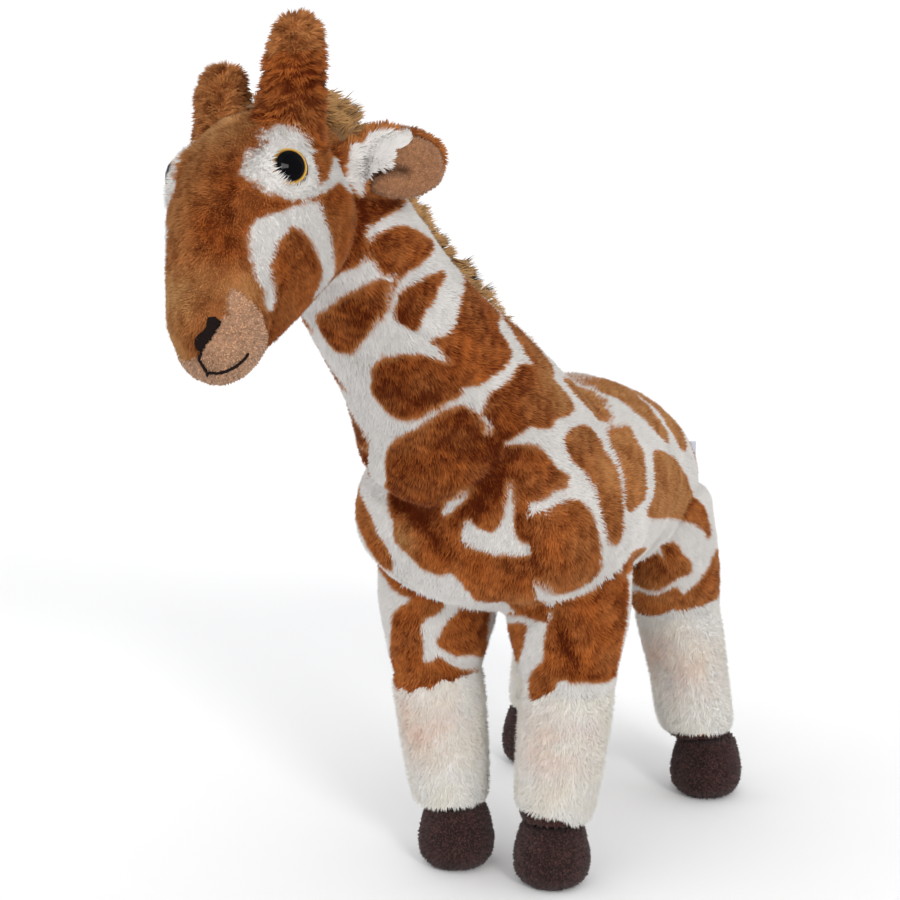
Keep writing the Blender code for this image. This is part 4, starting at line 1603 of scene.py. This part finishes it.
def stocking_tufts(leg, roots, rng):
    """Deep soft pile that hangs, in loose clumps, and is brown above the cuff's line."""
    count = len(roots.place)
    owner = np.full(count, OWNER[f"leg_{leg}"])
    above = below_cuff(leg, roots.place) < 0
    down = unit(np.array((0.0, 0.0, -1.0)) + roots.normal * roots.normal[:, 2:3])
    hem = ((roots.place[:, 2] - hem_height(leg, roots.place)) / 4).clip(0, 1)
    lean = np.radians(8 + 20 * hem + 8 * above + rng.normal(0, 10, count))
    way = roots.normal * np.cos(lean)[:, None] + down * np.sin(lean)[:, None]
    way = unit(way + curl(roots.place, 2.2, 0.3, 61, 62, 63) + rng.normal(0, 0.24, (count, 3)))
    length = np.where(above, sizes().body_pile, sizes().sock_pile) * rng.uniform(0.8, 1.15, count)
    length = length * (0.75 + 0.25 * hem)
    brown = np.where(above, brown_at(roots.place, roots.normal, owner), 0)
    blush = np.exp(-(((roots.place[:, 2] - 64) / 15) ** 2))
    front = np.exp(-((leg_angle(leg, roots.place) / 65) ** 2))
    return Tufts(
        way,
        length,
        0.8 * rng.uniform(0.75, 1.3, count),
        brown,
        brown,
        rng.random(count),
        np.where(above, 0.1, blush * front),
        down * 0.3,
    )


def clumped_locks(roots, upright, rng):
    """Long locks that lean together into pointed clumps, swept back."""
    count = len(roots.place)
    middles = rng.choice(count, max(4, round(count / CLUMP_SHARE)), replace=False)
    clump = np.zeros(count, np.int64)
    nearest = np.full(count, np.inf)
    for index, middle in enumerate(middles):
        away = np.linalg.norm(roots.place - roots.place[middle], axis=1)
        closer = away < nearest
        clump[closer] = index
        nearest[closer] = away[closer]
    swept = MANE_SWEEP if upright else TAIL_SWEEP
    reach = sizes().mane_pile * (0.75 if upright else 0.6) * rng.uniform(0.6, 1.1, len(middles))
    tips = roots.place[middles] + (roots.normal[middles] * 0.75 + swept) * reach[:, None]
    pull = tips[clump] - roots.place
    stray = curl(roots.place, 4, 0.12, 71, 72, 73) + rng.normal(0, 0.16, (count, 3))
    plain = np.zeros(count)
    return Tufts(
        unit(unit(pull) + stray + roots.normal * 0.12),
        np.linalg.norm(pull, axis=1) * rng.uniform(0.7, 1.0, count),
        0.85 * rng.uniform(0.7, 1.3, count),
        plain,
        plain,
        (rng.random(count) * 0.6 + rng.random(len(middles))[clump] * 0.4).clip(0, 1),
        plain,
        np.zeros((count, 3)) + (0, 0.3, -0.6),
    )


def fine_sheet(name, ground, cuts):
    """A ground as a mesh whose triangles are cut finer, that many times."""
    bm = bmesh.new()
    bm.from_mesh(ground.as_mesh(name))
    for _ in range(cuts):
        bmesh.ops.subdivide_edges(bm, edges=bm.edges, cuts=1, use_grid_fill=True)
    bmesh.ops.triangulate(bm, faces=bm.faces)
    mesh = bpy.data.meshes.new(name)
    bm.to_mesh(mesh)
    bm.free()
    relax(mesh, rounds=3)
    return mesh


def thickened(mesh, thickness):
    """A sheet made into a closed shell, that many millimetres thick."""
    source = add_object(mesh.name, mesh)
    solid = source.modifiers.new("thickness", "SOLIDIFY")
    solid.thickness = thickness * MM
    solid.offset = -1
    graph = bpy.context.evaluated_depsgraph_get()
    made = bpy.data.meshes.new_from_object(source.evaluated_get(graph))
    bpy.data.objects.remove(source)
    return made


def make_muzzle_cloth(ground):
    """The bare cloth of the muzzle, a shell that stands a little proud of the hide."""
    head = owned_by(ground.owner[ground.triangles], "head", "muzzle").all(1)
    near = (cloth_depth(ground.places)[ground.triangles] > -2.5).all(1)
    mesh = fine_sheet("muzzle_cloth", ground.part(head & near), cuts=2)
    places, normals, triangles = mesh_arrays(mesh)
    depth = cloth_depth(places)
    proud = np.interp(depth, *CLOTH_PROUD)
    cloth = Ground(places + normals * proud[:, None], normals, triangles)
    cloth = cloth.part((depth[triangles] > -0.9).all(1))
    shell = thickened(cloth.as_mesh("muzzle_cloth"), CLOTH_THICK)
    shell.shade_smooth()
    set_values(shell, brown=0, tip=SKIN_TIP, tint=SKIN_TINT, cast=0)
    return add_object("muzzle_cloth", shell), cloth


# ---------------------------------------------------------------- stitching

# The sides of a thread, and, in a nostril and in the mouth, its radius, which is also the spacing
# of its stitches, and its height above the face.
THREAD_SIDES = 6
NOSTRIL_THREAD = 0.42
NOSTRIL_PROUD = 1.1
MOUTH_THREAD = 0.55
MOUTH_PROUD = 0.75


def laid_on(tree, points, proud):
    """Points in the head's axes, moved to the nearest place on the face and raised above it."""
    laid = []
    points = np.asarray(points, float)
    for point in from_head(points + unit(points - MUZZLE_MIDDLE) * 3):
        place, normal, _, _ = tree.find_nearest(Vector(to_frame(point)))
        laid.append(to_toy(place) + np.array(normal) * proud)
    return np.array(laid)


def thread(bm, points, radius):
    """Adds one stitch: a round thread along the points, thinner at its two ends."""
    loops = []
    ahead = np.gradient(points, axis=0)
    for index, (point, along) in enumerate(zip(points, unit(ahead))):
        share = index / (len(points) - 1)
        thick = radius * (0.45 + 0.55 * math.sin(math.pi * share))
        across = unit(np.cross(along, (0.3, 0.9, 0.2)))
        deep = np.cross(along, across)
        ring = []
        for side in range(THREAD_SIDES):
            angle = 2 * math.pi * side / THREAD_SIDES
            spot = point + (across * math.cos(angle) + deep * math.sin(angle)) * thick
            ring.append(bm.verts.new(to_frame(spot)))
        loops.append(ring)
    for low, high in zip(loops, loops[1:]):
        for side in range(THREAD_SIDES):
            after = (side + 1) % THREAD_SIDES
            bm.faces.new((low[side], low[after], high[after], high[side]))
    bm.faces.new(loops[0][::-1])
    bm.faces.new(loops[-1])


def along_path(points, spacing):
    """Points spread evenly along a path of given points."""
    points = np.array(points, float)
    reach_so_far = np.concatenate([[0], np.linalg.norm(np.diff(points, axis=0), axis=1).cumsum()])
    stops = np.linspace(0, reach_so_far[-1], max(3, round(reach_so_far[-1] / spacing)))
    return np.stack([np.interp(stops, reach_so_far, values) for values in points.T], 1)


def crossing_spans(outline, start, way):
    """Where a line through a flat outline enters and leaves it, as lengths along the line."""
    across = np.array((-way[1], way[0]))
    corners = np.array(outline, float) - start
    spans = []
    for here, there in zip(corners, np.roll(corners, -1, axis=0)):
        low, high = here @ across, there @ across
        if (low > 0) != (high > 0):
            spot = here + (there - here) * (low / (low - high))
            spans.append(spot @ way)
    return sorted(spans)


def on_side(points, squeeze):
    """Points of the muzzle's near side, as they are there or on its wider far side."""
    back = FAR_SIDE_BACK if squeeze < 0 else 0
    return (np.array(points) - (NOSE_MIDDLE, 0, 0)) * (squeeze, 1, 1) + (NOSE_MIDDLE, back, 0)


def satin_fill(bm, tree, squeeze):
    """Fills a nostril with close threads, laid across its length."""
    outline = np.array(NOSTRIL)
    length = unit(np.array(NOSTRIL_END, float) - NOSTRIL_START)
    way = np.array((length[1], -length[0]))
    far = np.linalg.norm(np.subtract(NOSTRIL_END, NOSTRIL_START)) + 2.0
    steps = np.arange(-2.0, far, NOSTRIL_THREAD)
    for step in steps:
        spans = crossing_spans(outline, NOSTRIL_START + length * step, way)
        for low, high in zip(spans[0::2], spans[1::2]):
            if high - low < 0.5:
                continue
            reach = np.linspace(low + 0.25, high - 0.25, 7)
            flat = NOSTRIL_START + length * step + way * reach[:, None]
            points = np.stack([flat[:, 0], np.full(7, FACE_FRONT), flat[:, 1]], 1)
            laid = laid_on(tree, on_side(points, squeeze), NOSTRIL_PROUD)
            thread(bm, laid, NOSTRIL_THREAD)


def stitch_line(bm, tree, points):
    """A mouth line as overlapping stitches of thread."""
    path = along_path(points, MOUTH_THREAD)
    laid = laid_on(tree, path, MOUTH_PROUD)
    for start in range(0, len(laid) - 2, 3):
        thread(bm, laid[start : start + 6], MOUTH_THREAD)


# ---------------------------------------------------------------- operators


class GIRAFFE_OT_hide(bpy.types.Operator):
    """Make the stuffed hide with its patched pile, and the cloth and stitching of the muzzle"""

    bl_idname = "giraffe.hide"
    bl_label = "Hide and muzzle"

    def execute(self, context):
        material = plush("patched_pile", tuple(colours().cream), None)
        hide, ground = make_hide()
        dressed(hide, material, "patch_plush", *OWNERS[:-1], fill=0.9)
        grow_hide_coats(ground, material)
        terry = terry_cloth("muzzle_terry", tuple(colours().muzzle), shaded(colours().muzzle, 0.3))
        shell, cloth = make_muzzle_cloth(ground)
        dressed(shell, terry, "tan_cloth", "muzzle")
        rng = np.random.default_rng(300)
        roots = sow(cloth, density=2.6, rng=rng)
        dressed(knots("terry_muzzle", roots, size=0.9, rng=rng), terry, "tan_cloth")
        bm = bmesh.new()
        bm.from_mesh(hide.data)
        bm.from_mesh(cloth.as_mesh("outer_cloth"))
        face = BVHTree.FromBMesh(bm)
        bm.free()
        stitches = bmesh.new()
        for squeeze in (1, -NOSE_SPREAD):
            satin_fill(stitches, face, squeeze)
            stitch_line(stitches, face, on_side(SMILE, squeeze))
        stitch_line(stitches, face, PHILTRUM)
        mesh = bpy.data.meshes.new("stitching")
        stitches.to_mesh(mesh)
        stitches.free()
        mesh.shade_smooth()
        dressed(add_object("stitching", mesh), black_thread(), "hoof_cloth")
        return {"FINISHED"}


class GIRAFFE_OT_lower_legs(bpy.types.Operator):
    """Make the four stockings with their deep cream pile, and the hooves of dark terry cloth"""

    bl_idname = "giraffe.lower_legs"
    bl_label = "Stockings and hooves"

    def execute(self, context):
        cream = plush("stocking_pile", tuple(colours().stocking), tuple(colours().blush))
        terry = terry_cloth("hoof_terry", tuple(colours().hoof), shaded(colours().hoof, 0.16))
        for seed, leg in enumerate(LEGS):
            rng = np.random.default_rng(100 + seed)

            def bare_foot(places, normals):
                below = hem_height(leg, places) - places[:, 2]
                hem = np.interp(below, (-1.5, 0.5), (0.0, -0.6))
                inside_leg = np.interp(places[:, 2], (86, 90), (0.0, -1.6))
                slip = LEG_SLIP[leg] * normals[:, 0]
                return hem + inside_leg + slip + swollen(places)

            nodes = (f"stocking_{leg}", f"leg_{leg}")
            skin, ground = soft_skin(
                f"stocking_skin_{leg}",
                nodes,
                voxel=1.6,
                inset=1.9,
                rounds=2,
                shaping=bare_foot,
                top=STOCKING_CUT,
            )
            dressed(skin, cream, "cream_plush", f"stocking_{leg}", fill=0.9)
            owner = np.full(len(ground.places), OWNER[f"leg_{leg}"])
            above = below_cuff(leg, ground.places) < 0
            brown = np.where(above, brown_at(ground.places, ground.normals, owner), 0)
            under = ground.places[:, 2] < hem_height(leg, ground.places) - 0.3
            tint = np.where(under, HEM_TINT, SKIN_TINT)
            set_values(skin.data, brown=np.where(under, 1, brown), tint=tint)
            nodes = (f"hoof_{leg}",)
            hoof, sole = soft_skin(f"hoof_skin_{leg}", nodes, voxel=1.4, inset=0.9, rounds=1)
            dressed(hoof, terry, "hoof_cloth", f"hoof_{leg}", fill=0.9)
            side = np.abs(unit(ground.normals[ground.triangles].mean(1))[:, 2]) < 0.8
            sides = ground.part(side)
            hem = hem_height(leg, sides.middles())
            heights = sides.middles()[:, 2]
            white = (heights > hem) & (heights < STOCKING_TOP)
            roots = sow(sides.part(white), density=2.9, rng=rng)
            coat = grow(f"coat_stocking_{leg}", roots, stocking_tufts(leg, roots, rng))
            dressed(coat, cream, "cream_plush")
            outer = sow(sole.part(sole.middles()[:, 2] > SOLE_TOP), density=1.9, rng=rng)
            loops = knots(f"terry_hoof_{leg}", outer, size=1.25, rng=rng)
            dressed(loops, terry, "hoof_cloth")
            collar = heights < hem - 0.6
            if collar.any():
                upper = sow(sides.part(collar), density=4.5, rng=rng)
                loops = knots(f"terry_collar_{leg}", upper, size=1.1, rng=rng)
                dressed(loops, terry, "hoof_cloth")
        return {"FINISHED"}


class GIRAFFE_OT_ear_linings(bpy.types.Operator):
    """Make the tan terry linings of the ears"""

    bl_idname = "giraffe.ear_linings"
    bl_label = "Ear linings"

    def execute(self, context):
        tan = tuple(colours().lining)
        material = terry_cloth("ear_terry", tan, shaded(tan, 0.4))
        for side in SIDES:
            rng = np.random.default_rng(400 + SIDES[side])
            node = f"ear_lining_{side}"

            def folded(places, normals):
                flat, _ = ear_place(places, side)
                lip = ((-3 - flat[:, 1]) / 4).clip(0, 1) * 1.8
                fold = groove(from_line(flat, EAR_FOLD), depth=4.0, width=1.5)
                return fold * beside_fluff(flat) + lip

            skin, ground = soft_skin(
                f"{node}_skin", (node,), voxel=1.1, inset=0.4, rounds=1, shaping=folded
            )
            dressed(skin, material, "tan_cloth", node, fill=0.5)
            flat, _ = ear_place(ground.places, side)
            # Painted shade along the lining's fold, on its skin and its loops, but not below the
            # white tuft.
            deep = 1.6 * np.exp(-((from_line(flat, EAR_FOLD) / 1.2) ** 2))
            ground.deep = deep * beside_fluff(flat)
            set_values(skin.data, tint=SKIN_TINT - ground.deep)
            white = (depth_inside(flat, (EAR_WHITE,)) > -0.3)[ground.triangles].all(1)
            bare = sow(ground.part(~white), density=2.8, rng=rng)
            loops = knots(f"terry_{node}", bare, size=0.75, rng=rng)
            dressed(loops, material, "tan_cloth")
            roots = sow(ground.part(white), density=8.5, rng=rng)
            roots = roots._replace(owner=np.full(len(roots.place), OWNER[f"ear_{side}"]))
            fluff_tufts = fluff_ears(roots, body_tufts(roots, rng))
            clear = np.zeros(len(roots.place))
            fluff_tufts = fluff_tufts._replace(low=clear, brown=clear)
            fluff = grow(f"coat_ear_fluff_{side}", roots, fluff_tufts, facing=0.1)
            dressed(fluff, bpy.data.materials["patched_pile"], "patch_plush")
        return {"FINISHED"}


class GIRAFFE_OT_mane(bpy.types.Operator):
    """Make the shaggy mane and the tuft of the tail"""

    bl_idname = "giraffe.mane"
    bl_label = "Mane"

    def execute(self, context):
        material = lock_plush("mane_locks", tuple(colours().mane), shaded(colours().mane, 0.3))
        for node, inset, seed in (("mane", 3.4, 500), ("tail_tuft", 1.0, 501)):
            rng = np.random.default_rng(seed)

            def seated(places, normals):
                return (0.3 - normals @ unit(np.array(MANE_RISE))).clip(0, 1) * inset

            skin, ground = soft_skin(
                f"{node}_skin", (node,), voxel=1.5, inset=inset, rounds=2, shaping=seated
            )
            dressed(skin, material, "mane_plush", node, fill=0.8)
            roots = sow(ground, density=2.0, rng=rng)
            tufts = clumped_locks(roots, node == "mane", rng)
            locks = grow(f"coat_{node}", roots, tufts, bends=1, facing=0.65)
            dressed(locks, material, "mane_plush")
        return {"FINISHED"}


class GIRAFFE_OT_eyes(bpy.types.Operator):
    """Give the eyes a black pupil, an amber ring and a gloss"""

    bl_idname = "giraffe.eyes"
    bl_label = "Eyes"

    def execute(self, context):
        for side, sign in SIDES.items():
            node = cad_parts[f"eye_{side}"]
            mirror = np.array((sign, 1, 1))
            centre = from_head(EYE_PLACE * mirror + PUPIL_SHIFT * mirror)
            way = HEAD_TURN @ unit(EYE_WAY * mirror)
            paint = Paint(f"eye_gloss_{side}", Roughness=0.05, Specular_IOR_Level=0.05)
            less = {"operation": "SUBTRACT"}
            ends = {0: paint.places(), 1: tuple(to_frame(centre))}
            shifted = paint.node("ShaderNodeVectorMath", less, ends)
            dot = {"operation": "DOT_PRODUCT"}
            along = paint.node("ShaderNodeVectorMath", dot, {0: shifted, 1: tuple(way)}, "Value")
            squared = paint.node("ShaderNodeVectorMath", dot, {0: shifted, 1: shifted}, "Value")
            away = (squared - along * along) ** 0.5 * (1 / MM / EYE_SPAN)
            stops = tuple((radius / EYE_SPAN, colour) for radius, colour in EYE_RINGS)
            colour = paint.node("ShaderNodeValToRGB", {"stops": stops}, {"Fac": away})
            node.data.materials.clear()
            node.data.materials.append(paint.finish(colour))
        return {"FINISHED"}


# How fine the label's weave is.
WEAVE_SCALE = 900.0


class GIRAFFE_OT_label(bpy.types.Operator):
    """Give the bare sewn-in label its satin weave"""

    bl_idname = "giraffe.label"
    bl_label = "Label"

    def execute(self, context):
        paint = Paint("label_satin", Sheen_Weight=0.2, Roughness=0.45)
        inputs = {"Vector": paint.places(), "Scale": WEAVE_SCALE}
        threads = paint.node("ShaderNodeTexWave", {"bands_direction": "Z"}, inputs)
        colour = paint.mix(paint.noise(4) * 0.6, SATIN_DARK, SATIN_LIGHT)
        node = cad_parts["label"]
        node.data.materials.clear()
        satin = paint.finish(colour, 0.4 + threads * 0.15, bump=threads, depth=0.0001)
        node.data.materials.append(satin)
        return {"FINISHED"}


def sun(name, way, strength, spread, colour):
    """A soft, far lamp that shines the given way."""
    data = bpy.data.lights.new(name, "SUN")
    data.angle = math.radians(spread)
    data.energy = strength
    data.color = colour
    lamp = add_object(name, data)
    lamp.rotation_euler = Vector(way).to_track_quat("-Z", "Y").to_euler()


# The camera's lens and sensor in its own millimetres, where it stands, what it is aimed at, and how
# far the floor reaches in metres.
LENS = 100.0
SENSOR = 36.0
VIEW_AZIMUTH = math.radians(27.0)
VIEW_HEIGHT = math.radians(14.0)
VIEW_DISTANCE = 1000.0
VIEW_AIM = (-31.0, -44.0, 170.0)
FLOOR_RADIUS = 14.0


class GIRAFFE_OT_stage(bpy.types.Operator):
    """Set up the pale floor, the studio light and the camera"""

    bl_idname = "giraffe.stage"
    bl_label = "Stage"

    def execute(self, context):
        bm = bmesh.new()
        bmesh.ops.create_circle(bm, cap_ends=True, segments=64, radius=FLOOR_RADIUS)
        mesh = bpy.data.meshes.new("floor")
        bm.to_mesh(mesh)
        bm.free()
        floor = add_object("floor", mesh)
        paint = Paint("pale_floor", Specular_IOR_Level=0.0)
        tone = paint.mix(paint.noise(900), *FLOOR_TONES)
        mesh.materials.append(paint.finish(tone, roughness=0.9))
        sun("key", (-0.72, 0.6, -0.45), strength=1.0, spread=14, colour=(1.0, 0.99, 0.97))
        sun("fill", (0.35, 0.85, -0.5), strength=0.5, spread=70, colour=(0.98, 0.99, 1.0))
        world = bpy.data.worlds.new("studio")
        world.use_nodes = True
        backdrop = world.node_tree.nodes["Background"]
        backdrop.inputs["Color"].default_value = (0.98, 0.985, 0.99, 1)
        backdrop.inputs["Strength"].default_value = 0.95
        context.scene.world = world
        context.scene.view_settings.view_transform = "Standard"
        data = bpy.data.cameras.new("camera")
        data.lens = LENS
        data.sensor_width = SENSOR
        data.clip_start = 0.05
        data.clip_end = 60.0
        camera = add_object("camera", data)
        level = math.cos(VIEW_HEIGHT)
        back = Vector(
            (math.sin(VIEW_AZIMUTH) * level, -math.cos(VIEW_AZIMUTH) * level, math.sin(VIEW_HEIGHT))
        )
        camera.location = Vector(to_frame(VIEW_AIM)) + back * VIEW_DISTANCE * MM
        camera.rotation_euler = (-back).to_track_quat("-Z", "Y").to_euler()
        context.scene.camera = camera
        return {"FINISHED"}


STEPS = (
    GIRAFFE_OT_stage,
    GIRAFFE_OT_hide,
    GIRAFFE_OT_lower_legs,
    GIRAFFE_OT_ear_linings,
    GIRAFFE_OT_mane,
    GIRAFFE_OT_eyes,
    GIRAFFE_OT_label,
)


class GIRAFFE_PT_panel(bpy.types.Panel):
    """Sizes, colours and pieces of the toy giraffe"""

    bl_label = "Plush giraffe"
    bl_idname = "GIRAFFE_PT_panel"
    bl_space_type = "VIEW_3D"
    bl_region_type = "UI"
    bl_category = "Giraffe"

    def draw(self, context):
        layout = self.layout
        for group in (context.scene.toy_sizes, context.scene.toy_colours):
            box = layout.box()
            for name in group.__annotations__:
                box.prop(group, name)
        for step in STEPS:
            layout.operator(step.bl_idname)


CLASSES = (ToySizes, ToyColours, *STEPS, GIRAFFE_PT_panel)


def register():
    for cls in CLASSES:
        bpy.utils.register_class(cls)
    bpy.types.Scene.toy_sizes = PointerProperty(type=ToySizes)
    bpy.types.Scene.toy_colours = PointerProperty(type=ToyColours)


def unregister():
    del bpy.types.Scene.toy_colours
    del bpy.types.Scene.toy_sizes
    for cls in reversed(CLASSES):
        bpy.utils.unregister_class(cls)


def main():
    """Registers the add-on and makes each piece in turn."""
    register()
    bpy.ops.giraffe.stage()
    bpy.ops.giraffe.hide()
    bpy.ops.giraffe.lower_legs()
    bpy.ops.giraffe.ear_linings()
    bpy.ops.giraffe.mane()
    bpy.ops.giraffe.eyes()
    bpy.ops.giraffe.label()


if __name__ == "__main__":
    main()
